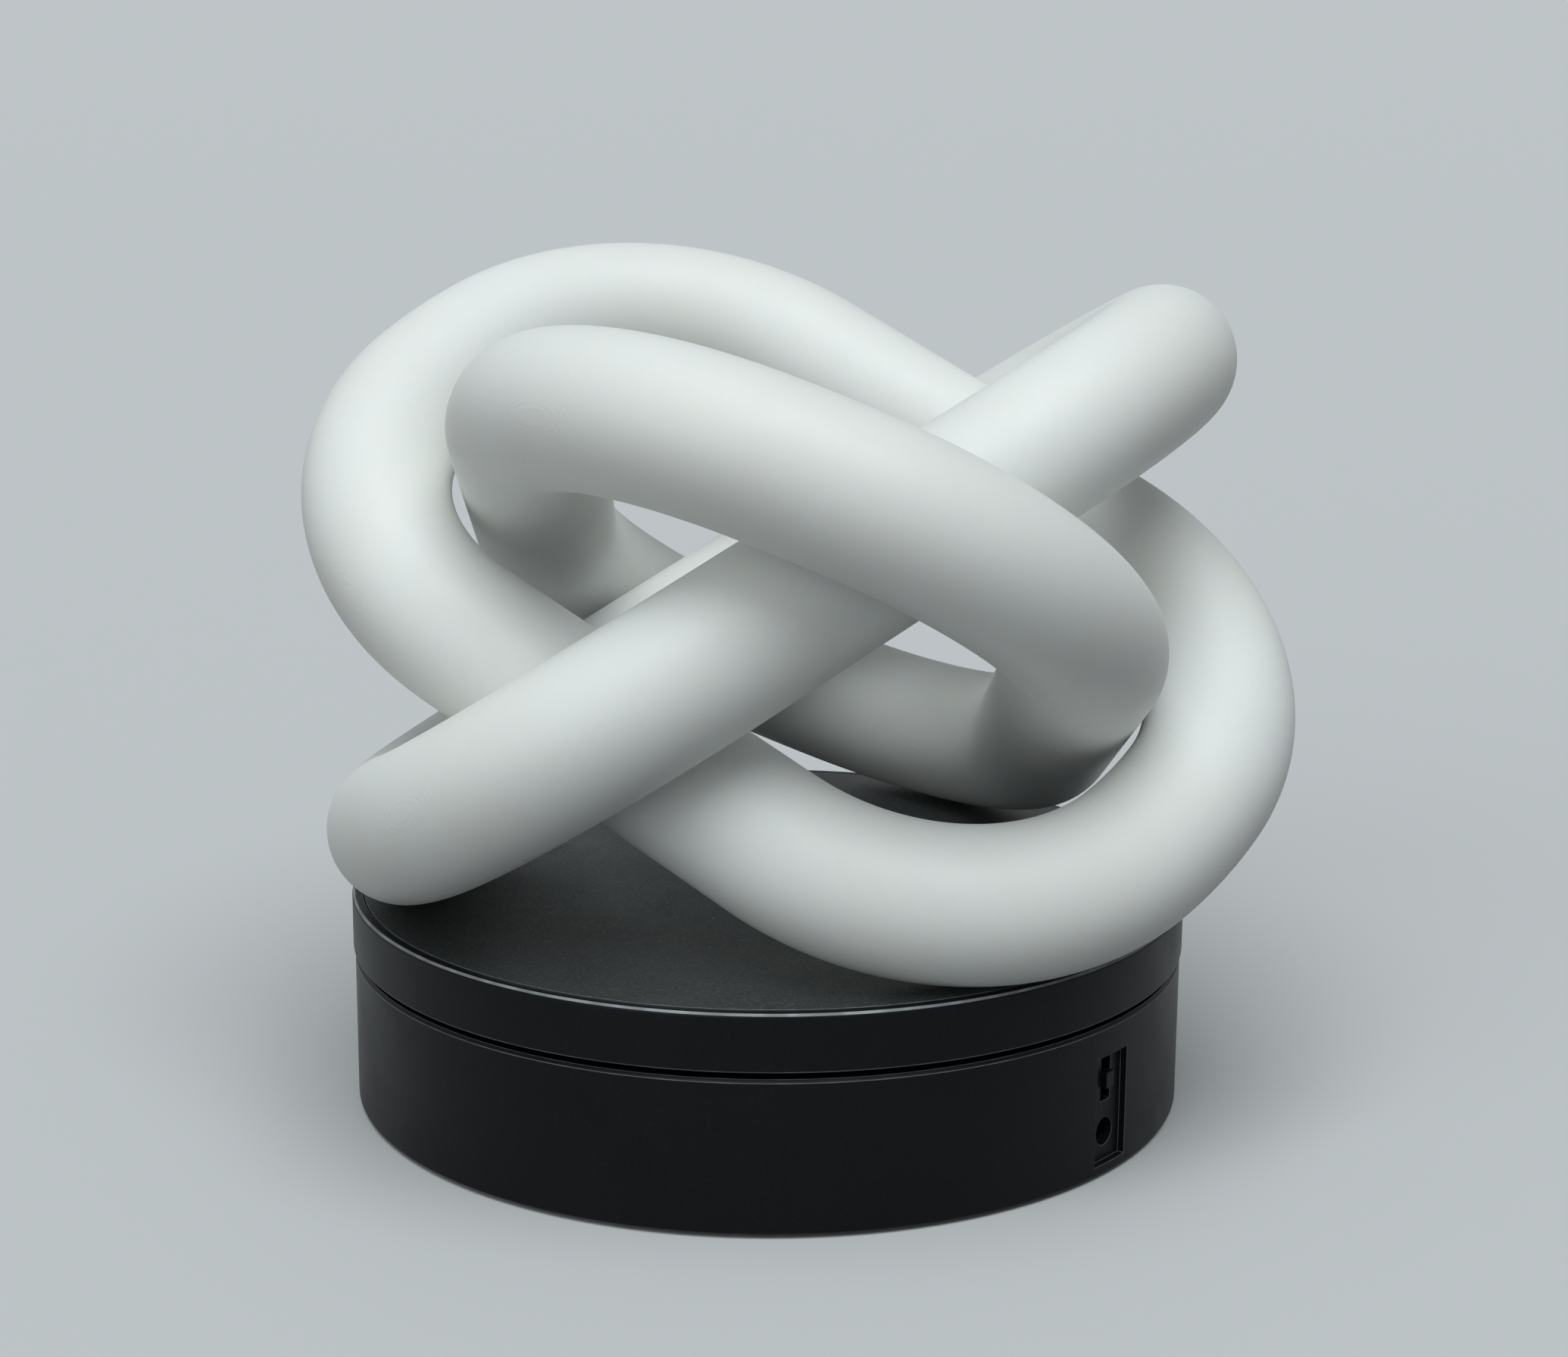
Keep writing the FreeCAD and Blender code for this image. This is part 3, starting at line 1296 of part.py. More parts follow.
def make_contacts():
    """Folded spring strips at both ends of the cells, one of them joining the two."""
    thick, deep = S["contact_thickness"], S["contact_depth"]
    tall = S["cell_diameter"] / 2
    low_z = case_floor + S["cell_gap"] + S["cell_diameter"] / 4
    narrow = S["contact_width"] / 2
    solids = []
    for index in range(2):
        middle_x = cell_middle_x(index)
        for end in range(2):
            wall_y = case_low_y if end == 0 else case_high_y - thick
            leaf_in = case_low_y + deep - thick - thick / 2
            leaf_y = leaf_in if end == 0 else case_high_y - deep + thick / 2
            fold_y = wall_y if end == 0 else leaf_y
            name = "contact_%d_%d" % (index, end)
            back = block(name + "_back", S["contact_width"], thick, tall, middle_x - narrow,
                         wall_y, low_z)
            leaf = block(name + "_leaf", narrow, thick, tall * LEAF_SHARE, middle_x - narrow / 2, leaf_y,
                         low_z)
            fold = block(name + "_fold", narrow, deep - thick / 2, thick, middle_x - narrow / 2,
                         fold_y, low_z)
            solids.append(fuse(name, [back, leaf, fold]))
    return group("battery_contacts", solids)


# The board, the switch and the socket behind the recess

def board_out():
    """How far out the board's outer face stands."""
    return port_back() - S["board_setback"]


def make_board():
    """The circuit board, with a chip and a capacitor on its inner side."""
    out, thick = board_out(), S["board_thickness"]
    low = cover_top + S["side_gap"]
    card = block("board_card", thick, S["board_width"], S["board_height"], out - thick,
                 -S["board_width"] / 2, low, PORT)
    chip = block("board_chip", S["chip_height"] + S["overrun"], S["chip_size"] * CHIP_LENGTH_SHARE,
                 S["chip_size"], out - thick - S["chip_height"], S["chip_size"] / 2,
                 low + S["board_height"] / 2, PORT)
    inward = heading_rotation(PORT) * Rotation(Vector(0, 1, 0), -QUARTER_TURN)
    at = turned(out - thick + S["overrun"], -S["board_width"] / 4, PORT)
    can = cylinder("board_can", S["can_diameter"] / 2, S["can_height"] + S["overrun"], at[0],
                   at[1], low + S["board_height"] / 2, inward)
    return fuse("control_board", [card, chip, can])


def make_switch():
    """The slide switch: a body open to the front, and the slider with its knob."""
    out, back = board_out(), port_back() - S["side_gap"]
    middle = drum_foot + S["switch_height"]
    half_long, half_wide = S["switch_length"] / 2, S["switch_width"] / 2
    shell = block("switch_shell", back - out, S["switch_width"], S["switch_length"], out,
                  -half_wide, middle - half_long, PORT)
    gap = S["running_gap"] * 2
    half_block = S["knob_length"] / 2 + S["slider_rim"]
    half_slot = half_block + S["switch_travel"] + gap
    slider_half = S["knob_width"] / 2 + S["slider_rim"] / 2
    room_from = back - S["slider_thickness"] - gap * 2
    room = block("switch_room", S["slider_thickness"] + gap * 2 + S["overrun"],
                 (slider_half + gap) * 2, half_slot * 2, room_from, -slider_half - gap,
                 middle - half_slot, PORT)
    body = cut("switch_body", shell, [room])
    slide = block("slider_block", S["slider_thickness"], slider_half * 2, half_block * 2,
                  room_from + gap, -slider_half, middle - half_block, PORT)
    knob = block("slider_knob", port_floor() + S["knob_proud"] - room_from - gap, S["knob_width"],
                 S["knob_length"], room_from + gap, -S["knob_width"] / 2,
                 middle - S["knob_length"] / 2, PORT)
    return [body, fuse("switch_slider", [slide, knob])]


def make_socket():
    """The power socket, with its pin in the middle of the bore."""
    out, front = board_out(), port_back() - S["side_gap"]
    half = S["socket_size"] / 2
    middle = drum_foot + S["socket_height"]
    tall = S["socket_size"] * SOCKET_HEIGHT_SHARE
    shell = block("socket_shell", front - out, S["socket_size"], tall, out, -half,
                  middle - tall / 2, PORT)
    outward = heading_rotation(PORT) * Rotation(Vector(0, 1, 0), QUARTER_TURN)
    at = turned(front - S["socket_depth"], NOUGHT, PORT)
    bore = cylinder("socket_bore", S["socket_bore"] / 2, S["socket_depth"] + S["overrun"], at[0],
                    at[1], middle, outward)
    pin = cylinder("socket_pin", S["socket_pin"] / 2, S["socket_depth"] * SOCKET_PIN_SHARE,
                   at[0], at[1], middle, outward)
    return [cut("power_socket", shell, [bore]), pin]


def rounded_path(points):
    """Straight runs joined by arcs as large as the runs allow, and the arcs' radii."""
    edges, radii = [], []
    start = points[0]
    for before, corner, after in zip(points, points[1:], points[2:]):
        cut_back = BEND_SHARE * min((corner - before).Length, (after - corner).Length)
        into = (corner - before).normalize()
        out = (after - corner).normalize()
        half_turn = into.getAngle(out) / 2
        radius = cut_back / math.tan(half_turn)
        toward = (out - into).normalize()
        middle = corner + toward * (radius / math.cos(half_turn) - radius)
        near, far = corner - into * cut_back, corner + out * cut_back
        edges.append(Part.LineSegment(start, near).toShape())
        edges.append(Part.Arc(near, middle, far).toShape())
        radii.append(radius)
        start = far
    edges.append(Part.LineSegment(start, points[-1]).toShape())
    return Part.Wire(edges), radii


def lead(name, route):
    """One insulated wire along a rounded path."""
    points = [Vector(as_size(x).value, as_size(y).value, lead_height.value) for x, y in route]
    path, radii = rounded_path(points)
    direction = (points[1] - points[0]).normalize()
    section = Part.Wire(Part.Circle(points[0], direction, S["lead_diameter"].value / 2).toShape())
    tube = path.makePipeShell([section], True, False)
    if tube.Volume < 0:
        tube.reverse()
    print(name, "bend radii", ", ".join("%.1f" % radius for radius in radii))
    return tube


def board_exit(shift, run):
    """Where a wire leaves the board's inner face, and the end of its first straight run."""
    out = board_out() - S["board_thickness"]
    return turned(out, shift, PORT), turned(out - run, shift, PORT)


def make_leads():
    """The wires from the board to the motor's tabs and to the battery case."""
    pitch = S["lead_pitch"]
    routes = {"motor_leads": [], "battery_leads": []}
    for side, middle in ((1, MOTOR_LEAD_UPPER), (-1, MOTOR_LEAD_LOWER)):
        start, first = board_exit(-pitch * (2 - side / 2), pitch * 3)
        stop = tab_end(side)
        last = along(TERMINAL_ANGLE, pitch * 3, stop)
        between = tuple((pitch * x, pitch * y) for x, y in middle)
        routes["motor_leads"].append((start, first) + between + (last, stop))
    for index in range(2):
        start, corner = board_exit(pitch * (index + 1) / 2, pitch * (5 - index) / 2)
        routes["battery_leads"].append((start, corner, (corner[0], case_low_y - S["case_wall"])))
    made = []
    for name, group_routes in routes.items():
        leads = document.addObject("Part::Feature", name)
        leads.Shape = Part.makeCompound([lead(name, route) for route in group_routes])
        leads.Label = name
        made.append(leads)
    return made


def check(nodes):
    """Stops if anything in the document failed or a solid is not sound."""
    for thing in document.Objects:
        if "Invalid" in thing.State or "Error" in thing.State:
            raise RuntimeError("%s is %s" % (thing.Label, thing.State))
    for node in nodes:
        if node.Shape.isNull() or not node.Shape.isValid() or not node.Shape.Solids:
            raise RuntimeError("%s has no sound solid" % node.Label)


def main():
    nodes = make_rings()
    nodes += [make_plate(), make_sheet_disc(), make_spindle(), make_bush()]
    nodes += make_gears()
    nodes += [make_gear_pins(), make_gear_frame(), make_frame_screws()]
    nodes += make_motor()
    nodes += [make_motor_bracket(), make_motor_screws(), make_drum()]
    nodes += make_rollers()
    nodes += [make_cover(), make_cover_screws(), make_feet(), make_lid()]
    nodes += [make_cells(), make_contacts(), make_board()]
    nodes += make_switch()
    nodes += make_socket()
    nodes += make_leads()
    document.recompute()
    check(nodes)
    os.makedirs("parts", exist_ok=True)
    for node in nodes:
        node.Shape.exportStep("parts/%s.step" % node.Label)
        print("%-20s %3d solids %12.2f mm3" % (node.Label, len(node.Shape.Solids),
                                              node.Shape.Volume))


main()
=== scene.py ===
"""Dresses a sculpture of three interlocked rings on a turning display base."""

import json
import math

import bmesh
import bpy
from bpy.props import FloatProperty, FloatVectorProperty, IntProperty, PointerProperty
from mathutils import Matrix, Vector

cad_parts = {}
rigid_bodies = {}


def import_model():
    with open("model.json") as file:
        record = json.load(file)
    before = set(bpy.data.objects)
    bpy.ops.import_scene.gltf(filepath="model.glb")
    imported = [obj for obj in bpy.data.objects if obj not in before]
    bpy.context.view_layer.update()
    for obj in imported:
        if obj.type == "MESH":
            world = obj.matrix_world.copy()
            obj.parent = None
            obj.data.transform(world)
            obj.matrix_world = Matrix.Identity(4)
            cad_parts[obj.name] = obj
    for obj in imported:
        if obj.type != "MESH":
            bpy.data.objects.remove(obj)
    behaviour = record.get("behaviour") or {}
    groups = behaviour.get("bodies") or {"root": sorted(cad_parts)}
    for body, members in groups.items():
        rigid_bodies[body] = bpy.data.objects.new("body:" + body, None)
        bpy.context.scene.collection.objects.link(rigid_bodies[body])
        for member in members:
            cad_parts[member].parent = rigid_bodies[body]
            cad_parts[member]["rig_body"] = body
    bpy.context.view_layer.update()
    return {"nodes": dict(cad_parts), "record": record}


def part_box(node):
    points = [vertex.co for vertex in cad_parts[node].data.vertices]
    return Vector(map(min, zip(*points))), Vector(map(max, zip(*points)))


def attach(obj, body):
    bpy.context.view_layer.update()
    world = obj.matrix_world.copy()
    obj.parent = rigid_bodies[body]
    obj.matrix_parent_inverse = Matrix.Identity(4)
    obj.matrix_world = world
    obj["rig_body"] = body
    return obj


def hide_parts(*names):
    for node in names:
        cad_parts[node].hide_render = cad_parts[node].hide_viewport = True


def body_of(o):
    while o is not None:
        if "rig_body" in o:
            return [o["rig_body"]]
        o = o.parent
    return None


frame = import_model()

bl_info = {
    "name": "Interlocked Ring Sculpture",
    "version": (1, 0, 0),
    "blender": (4, 5, 0),
    "location": "View3D > Sidebar > Ring Sculpture",
    "description": "Three linked rings on a turning display base, dressed for rendering",
    "category": "Object",
}

MM = 0.001
NODES = frame["nodes"]
SLOTS = {part["node"]: part["material_slot"] for part in frame["record"]["subparts"]}
PLATE_LOW, PLATE_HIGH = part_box("turning_plate")
SHEET_LOW, SHEET_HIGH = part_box("plate_sheet")

# Each ring: its middle on the plate in mm, and its heading, dip and bank in degrees
RINGS = {
    "right": ((4.24, -4.59), (-28.66, 25.35, 24.16)),
    "back": ((4.76, -2.49), (90.98, 24.39, 22.68)),
    "left": ((2.52, -3.5), (-151.78, 25.7, 21.05)),
}
# The way the nylon's layers were laid
LAYER_AXIS = (-0.725, -0.688, 0.031)

# The turning plate, round and under its sheet
PLATE_HEIGHT = 9.2 * MM
LIP_WIDTH = 1.7 * MM
LIP_CHAMFER = 0.6 * MM
SKIRT_WIDTH = 2.2 * MM
WEB_THICKNESS = 2 * MM
TRACK_OUTER, TRACK_INNER = 50.5 * MM, 45.5 * MM
TRACK_DEPTH = 1.2 * MM
HUB_RADIUS, BORE_RADIUS = 5 * MM, 2.02 * MM
RIB_COUNT = 6
RIB_LENGTH, RIB_WIDTH, RIB_HEIGHT = 39 * MM, 1.4 * MM, 2.6 * MM
RIB_OUT, RIB_DROP = 23 * MM, 1.1 * MM

# How far a rounded edge is painted paler, partly as rubbing and partly as a painted highlight
# along the edge, where the polished band painted as a highlight counts as 1
EDGE_WEAR_AND_SHEEN = 0.4
# In chamfers from the rim inward: how far the lip reaches, and where it is polished and painted
# pale as a highlight line
LIP_REACH = 1.5
HIGHLIGHT_BAND_START, HIGHLIGHT_BAND_END = 0.25, 0.75

# CAD nodes that are shown with rounded edges: the piece's name and how wide they are rounded
ROUNDED_DRUM = {
    "drum_housing": ("drum_shell", 0.2 * MM),
    "bottom_cover": ("cover_shell", 0.15 * MM),
    "battery_lid": ("lid_panel", 0.12 * MM),
    "rubber_feet": ("foot_pads", 0.5 * MM),
    "cover_screws": ("cover_screw_set", 0.06 * MM),
}
SHEET_EDGE = 0.08 * MM

# How finely turned and rounded forms are made
LATHE_STEPS = 256
ARC_STEPS = 4
BEVEL_STEPS = 2
# How much of a run between two corners one corner's arc may take
ARC_SHARE = 0.45
# A radius that counts as being on the axis, and points that count as one
ON_AXIS = 1e-9
SAME_POINT = 0.002 * MM
# Faces that count as one flat, edges that are rounded and edges that are shaded sharp
FLAT_ANGLE = math.radians(0.4)
CORNER_ANGLE = math.radians(40)
CREASE_ANGLE = math.radians(35)

# Which way the recess in the drum faces, and how far out the board's inner face stands
PORT_HEADING = math.radians(-38.7)
BOARD_INNER = 57.7 * MM

# The wires, each route in mm from its board end
LEAD_HEIGHT = 4.467 * MM
LEAD_DIAMETER = 1.2 * MM
MOTOR_LEADS = {
    "motor_lead_inner": ((42.217, -39.588), (35.193, -33.961), (20.1, -31.5), (3.9, -33.9),
                         (-12, -33), (-25.131, -28.19), (-29.631, -20.396)),
    "motor_lead_outer": ((40.342, -41.93), (33.318, -36.303), (18.6, -34.5), (3.6, -36.9),
                         (-13.5, -36), (-27.729, -29.69), (-32.229, -21.896)),
}
BATTERY_LEADS = {
    "battery_lead_inner": ((46.907, -33.735), (42.224, -29.984), (42.224, -23.0)),
    "battery_lead_outer": ((45.969, -34.906), (40.115, -30.217), (40.115, -23.0)),
}

# Where the camera stands, and its own right, up and back
CAMERA_PLACE = (0, -0.4861, 0.184)
CAMERA_AXES = ((0.99997, -0.00351, 0.00629), (-0.00531, 0.22982, 0.97322),
               (-0.00486, -0.97323, 0.2298))
SENSOR_WIDTH = 36
CLIP_NEAR, CLIP_FAR = 0.01, 50

# A Mix node's colour sockets, by number because other kinds share their names
MIX_SHARE, MIX_FIRST, MIX_SECOND, MIX_RESULT = 0, 6, 7, 2

# The floor's size, where the lamps stand from the rings, and how wide each one is
FLOOR_RADIUS, FLOOR_STEPS = 60, 96
KEY_HEADING, FRONT_HEADING = (0.05, -0.4, 1), (-0.6, -1, 0.55)
LAMP_SPREAD = math.radians(50)


class RingSizes(bpy.types.PropertyGroup):
    """Sizes of the three rings."""
    tube_diameter: FloatProperty(
        name="Tube", description="Thickness of a ring's tube", default=24.2 * MM, min=0.001,
        subtype="DISTANCE", unit="LENGTH")
    width: FloatProperty(
        name="Width", description="Across a ring, from tube middle to tube middle",
        default=93 * MM, min=0.01, subtype="DISTANCE", unit="LENGTH")
    length: FloatProperty(
        name="Length", description="Along a ring, from tube middle to tube middle",
        default=144.8 * MM, min=0.01, subtype="DISTANCE", unit="LENGTH")
    end_radius: FloatProperty(
        name="End bend", description="Gentle bend of a ring's two ends", default=89 * MM,
        min=0.01, subtype="DISTANCE", unit="LENGTH")
    shoulder_offset: FloatProperty(
        name="Shoulder offset", description="From a shoulder bend's centre to the long axis",
        default=4.5 * MM, min=0, subtype="DISTANCE", unit="LENGTH")
    rest_gap: FloatProperty(
        name="Rest gap", description="Under a ring's lowest point", default=0.1 * MM, min=0,
        subtype="DISTANCE", unit="LENGTH")
    steps_along: IntProperty(
        name="Steps along", description="Mesh steps once round a ring", default=400, min=24)
    steps_round: IntProperty(
        name="Steps round", description="Mesh steps round a tube", default=96, min=8)


class NylonLook(bpy.types.PropertyGroup):
    """Colour and surface of the sintered rings."""
    colour: FloatVectorProperty(
        name="Colour", description="Sintered nylon", subtype="COLOR", size=3, min=0, max=1,
        default=(0.82, 0.835, 0.825))
    aged: FloatVectorProperty(
        name="Aged colour", description="Where the nylon has yellowed a little",
        subtype="COLOR", size=3, min=0, max=1, default=(0.8, 0.8, 0.74))
    roughness: FloatProperty(
        name="Roughness", description="How matte the nylon is", default=0.5, min=0, max=1,
        subtype="FACTOR")
    layer: FloatProperty(
        name="Layer", description="Height of one printed layer", default=0.12 * MM,
        min=0.00001, subtype="DISTANCE", unit="LENGTH")


class BaseLook(bpy.types.PropertyGroup):
    """Colours and surfaces of the display base."""
    black: FloatVectorProperty(
        name="Moulding", description="Black plastic of plate and drum", subtype="COLOR",
        size=3, min=0, max=1, default=(0.004, 0.0045, 0.005))
    film: FloatVectorProperty(
        name="Sheet", description="Dark sheet let into the plate", subtype="COLOR", size=3,
        min=0, max=1, default=(0.026, 0.029, 0.029))
    roughness: FloatProperty(
        name="Roughness", description="How matte the moulding is", default=0.38, min=0, max=1,
        subtype="FACTOR")
    edge: FloatProperty(
        name="Edge", description="Rounding of the moulded edges", default=0.2 * MM, min=0,
        subtype="DISTANCE", unit="LENGTH")


class StageLook(bpy.types.PropertyGroup):
    """Floor, light and camera."""
    floor: FloatVectorProperty(
        name="Floor", description="Plain pale floor", subtype="COLOR", size=3, min=0, max=1,
        default=(0.62, 0.63, 0.64))
    sky: FloatProperty(
        name="Sky", description="Brightness of the pale surroundings as seen", default=0.563,
        min=0)
    fill: FloatProperty(
        name="Fill", description="Light from all round", default=0.18, min=0)
    bounce: FloatProperty(
        name="Bounce", description="Share of the floor's paleness that lights the object",
        default=0.2, min=0, max=1, subtype="FACTOR")
    tint: FloatVectorProperty(
        name="Light", description="Slightly cool colour of the light", subtype="COLOR", size=3,
        min=0, max=1, default=(0.93, 0.985, 1.0))
    key_power: FloatProperty(
        name="Key lamp", description="Strength of the wide lamp overhead", default=2.0,
        min=0)
    front_power: FloatProperty(
        name="Front lamp", description="Strength of the wide lamp in front", default=0.75,
        min=0)
    focal_length: FloatProperty(
        name="Focal length", description="Camera lens in millimetres", default=69.545,
        min=1, unit="CAMERA")


# Meshes

def add_object(name, data):
    """A new object in the scene."""
    made = bpy.data.objects.new(name, data)
    bpy.context.scene.collection.objects.link(made)
    return made


def add_piece(name, data, body, slot, node_name):
    """A finished piece that rides on a body and stands for a CAD node."""
    piece = add_object(name, data)
    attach(piece, body)
    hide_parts(node_name)
    dress(piece, slot)
    return piece


def modified(mesh, kind, **settings):
    """The mesh that a modifier makes of another."""
    holder = add_object(mesh.name, mesh)
    modifier = holder.modifiers.new(kind, kind)
    for key, value in settings.items():
        setattr(modifier, key, value)
    shown = holder.evaluated_get(bpy.context.evaluated_depsgraph_get())
    result = bpy.data.meshes.new_from_object(shown)
    bpy.data.objects.remove(holder)
    return result


def unite(mesh, extra):
    """One mesh from two closed ones, with nothing left inside."""
    other = add_object(extra.name, extra)
    result = modified(mesh, "BOOLEAN", operation="UNION", solver="EXACT", object=other)
    bpy.data.objects.remove(other)
    return result


def finish_mesh(name, work):
    """Turns worked geometry into a mesh whose flats stay flat beside its rounded edges."""
    bmesh.ops.recalc_face_normals(work, faces=work.faces)
    mesh = bpy.data.meshes.new(name)
    work.to_mesh(mesh)
    work.free()
    mesh.shade_smooth()
    mesh.set_sharp_from_angle(angle=CREASE_ANGLE)
    return modified(mesh, "WEIGHTED_NORMAL", keep_sharp=True)


def round_corners(points, radius):
    """A profile with each corner turned into an arc, as wide as the runs beside it allow."""
    made = []
    for index, corner in enumerate(points):
        here = Vector(corner)
        if index in (0, len(points) - 1) or here.x < ON_AXIS:
            made.append(here)
            continue
        back = Vector(points[index - 1]) - here
        ahead = Vector(points[index + 1]) - here
        reach = min(radius, back.length * ARC_SHARE, ahead.length * ARC_SHARE)
        start, end = here + back.normalized() * reach, here + ahead.normalized() * reach
        for step in range(ARC_STEPS + 1):
            t = step / ARC_STEPS
            made.append(start * (1 - t) ** 2 + here * 2 * t * (1 - t) + end * t ** 2)
    return made


def lathe(profile, edge):
    """Geometry turned about the upright axis from (radius, height) points, short runs marked as
    rubbed edges with painted edge highlight.
    """
    work = bmesh.new()
    wear_and_highlight = work.faces.layers.float.new("edge")
    turns = [math.tau * step / LATHE_STEPS for step in range(LATHE_STEPS)]
    rows = []
    for radius, height in profile:
        if radius < ON_AXIS:
            rows.append([work.verts.new((0, 0, height))])
        else:
            rows.append([
                work.verts.new((radius * math.cos(turn), radius * math.sin(turn), height))
                for turn in turns])
    for low, high, start, end in zip(rows, rows[1:], profile, profile[1:]):
        # Short runs are rounded edges, painted paler as rubbing and as a painted edge highlight
        wear_and_sheen = EDGE_WEAR_AND_SHEEN if (end - start).length < edge else 0
        for step in range(LATHE_STEPS):
            after = (step + 1) % LATHE_STEPS
            if len(low) == 1:
                face = work.faces.new((low[0], high[after], high[step]))
            elif len(high) == 1:
                face = work.faces.new((low[step], low[after], high[0]))
            else:
                face = work.faces.new((low[step], low[after], high[after], high[step]))
            face[wear_and_highlight] = wear_and_sheen
    return work


def add_rounded_copy(node_name, name, width):
    """A piece from a CAD node's own form, with its sharp edges rounded."""
    work = bmesh.new()
    work.from_mesh(NODES[node_name].data)
    bmesh.ops.remove_doubles(work, verts=work.verts, dist=SAME_POINT)
    bmesh.ops.dissolve_limit(work, angle_limit=FLAT_ANGLE, verts=work.verts, edges=work.edges)
    sharp = [edge for edge in work.edges
             if len(edge.link_faces) == 2 and edge.calc_face_angle() > CORNER_ANGLE]
    wear_and_highlight = work.faces.layers.float.new("edge")
    made = bmesh.ops.bevel(work, geom=sharp, offset=width, segments=BEVEL_STEPS, profile=0.5,
                           affect="EDGES", clamp_overlap=True)
    # The new rounded faces are painted paler, as rubbing and as a painted edge highlight
    for face in made["faces"]:
        face[wear_and_highlight] = EDGE_WEAR_AND_SHEEN
    add_piece(name, finish_mesh(name, work), body_of(NODES[node_name])[0],
              SLOTS[node_name], node_name)


# The rings

def oval(sizes):
    """Evenly spaced points of a ring's middle line, with their outward directions."""
    half_width = sizes.width / 2
    shoulder = half_width - sizes.shoulder_offset
    tip_centre = sizes.length / 2 - sizes.end_radius
    side_end = tip_centre + math.sqrt(
        (sizes.end_radius - shoulder) ** 2 - sizes.shoulder_offset ** 2)
    swing = math.atan2(sizes.shoulder_offset, side_end - tip_centre)
    half, quarter = math.pi, math.pi / 2
    arcs = (
        (-side_end, sizes.shoulder_offset, shoulder, quarter, half - swing),
        (-tip_centre, 0, sizes.end_radius, half - swing, half + swing),
        (-side_end, -sizes.shoulder_offset, shoulder, half + swing, half + quarter),
        (side_end, -sizes.shoulder_offset, shoulder, -quarter, -swing),
        (tip_centre, 0, sizes.end_radius, -swing, swing),
        (side_end, sizes.shoulder_offset, shoulder, swing, quarter),
    )
    runs = [radius * (end - start) for _, _, radius, start, end in arcs]
    lower, upper = 3, 7
    for straight in (lower, upper):
        runs.insert(straight, side_end * 2)
    total = sum(runs)
    made = []
    for step in range(sizes.steps_along):
        left = total * step / sizes.steps_along
        index = 0
        while left > runs[index]:
            left -= runs[index]
            index += 1
        if index in (lower, upper):
            side = -1 if index == lower else 1
            at = Vector((side * (side_end - left), side * half_width, 0))
            out = Vector((0, side, 0))
        else:
            x, y, radius, start, _ = arcs[index if index < lower else index - 1]
            out = Vector((math.cos(start + left / radius), math.sin(start + left / radius), 0))
            at = Vector((x, y, 0)) + out * radius
        made.append((at, out))
    return made


def ring_place(side, line, tube_radius, rest_gap):
    """Where a ring lies: turned as it leans and lowered until it rests on the plate."""
    (x, y), angles = RINGS[side]
    heading, dip, bank = (math.radians(angle) for angle in angles)
    turn = (Matrix.Rotation(heading, 4, "Z") @ Matrix.Rotation(dip, 4, "Y")
            @ Matrix.Rotation(bank, 4, "X"))
    lowest = min((turn @ at).z for at, _ in line)
    height = SHEET_HIGH.z + rest_gap + tube_radius - lowest
    return Matrix.Translation((x * MM, y * MM, height)) @ turn


def ring_mesh(name, side, sizes):
    """One ring's round tube, swept once round its middle line."""
    radius = sizes.tube_diameter / 2
    line = oval(sizes)
    place = ring_place(side, line, radius, sizes.rest_gap)
    work = bmesh.new()
    rows = []
    for at, out in line:
        row = []
        for step in range(sizes.steps_round):
            turn = math.tau * step / sizes.steps_round
            spot = at + radius * (out * math.cos(turn) + Vector((0, 0, math.sin(turn))))
            row.append(work.verts.new(place @ spot))
        rows.append(row)
    for row, following in zip(rows, rows[1:] + rows[:1]):
        for step in range(sizes.steps_round):
            after = (step + 1) % sizes.steps_round
            work.faces.new((row[step], row[after], following[after], following[step]))
    return finish_mesh(name, work)


# The base

def plate_mesh(edge):
    """The turning plate: lip, web, skirt, roller track, hub and ribs."""
    high, low, out = PLATE_HIGH.z, PLATE_LOW.z, PLATE_HIGH.x
    skirt_low = high - PLATE_HEIGHT
    web_high = SHEET_LOW.z
    web_low = web_high - WEB_THICKNESS
    track_low = web_low - TRACK_DEPTH
    lip_in, skirt_in = out - LIP_WIDTH, out - SKIRT_WIDTH
    profile = (
        (0, web_high), (lip_in, web_high), (lip_in, high), (out - LIP_CHAMFER, high),
        (out, high - LIP_CHAMFER), (out, skirt_low), (skirt_in, skirt_low), (skirt_in, web_low),
        (TRACK_OUTER, web_low), (TRACK_OUTER, track_low), (TRACK_INNER, track_low),
        (TRACK_INNER, web_low), (HUB_RADIUS, web_low), (HUB_RADIUS, low), (BORE_RADIUS, low),
        (BORE_RADIUS, web_low), (0, web_low))
    work = lathe(round_corners(profile, edge), edge)
    wear_and_highlight = work.faces.layers.float["edge"]
    for face in work.faces:
        middle = face.calc_center_median()
        inward = (out - middle.xy.length) / LIP_CHAMFER
        # Across the lip's chamfer only the middle band is marked, and so painted pale as a
        # highlight line; the rest of the lip top carries no wear
        if middle.z > high - LIP_REACH * LIP_CHAMFER and inward < LIP_REACH:
            face[wear_and_highlight] = float(HIGHLIGHT_BAND_START < inward < HIGHLIGHT_BAND_END)
    ribs = bmesh.new()
    for index in range(RIB_COUNT):
        turn = Matrix.Rotation(math.tau * index / RIB_COUNT, 4, "Z")
        rib = bmesh.ops.create_cube(ribs, size=1)["verts"]
        place = (turn @ Matrix.Translation((RIB_OUT, 0, web_low - RIB_DROP))
                 @ Matrix.Diagonal((RIB_LENGTH, RIB_WIDTH, RIB_HEIGHT, 1)))
        bmesh.ops.transform(ribs, matrix=place, verts=rib)
    return unite(finish_mesh("turning_plate_moulding", work), finish_mesh("ribs", ribs))


# Materials

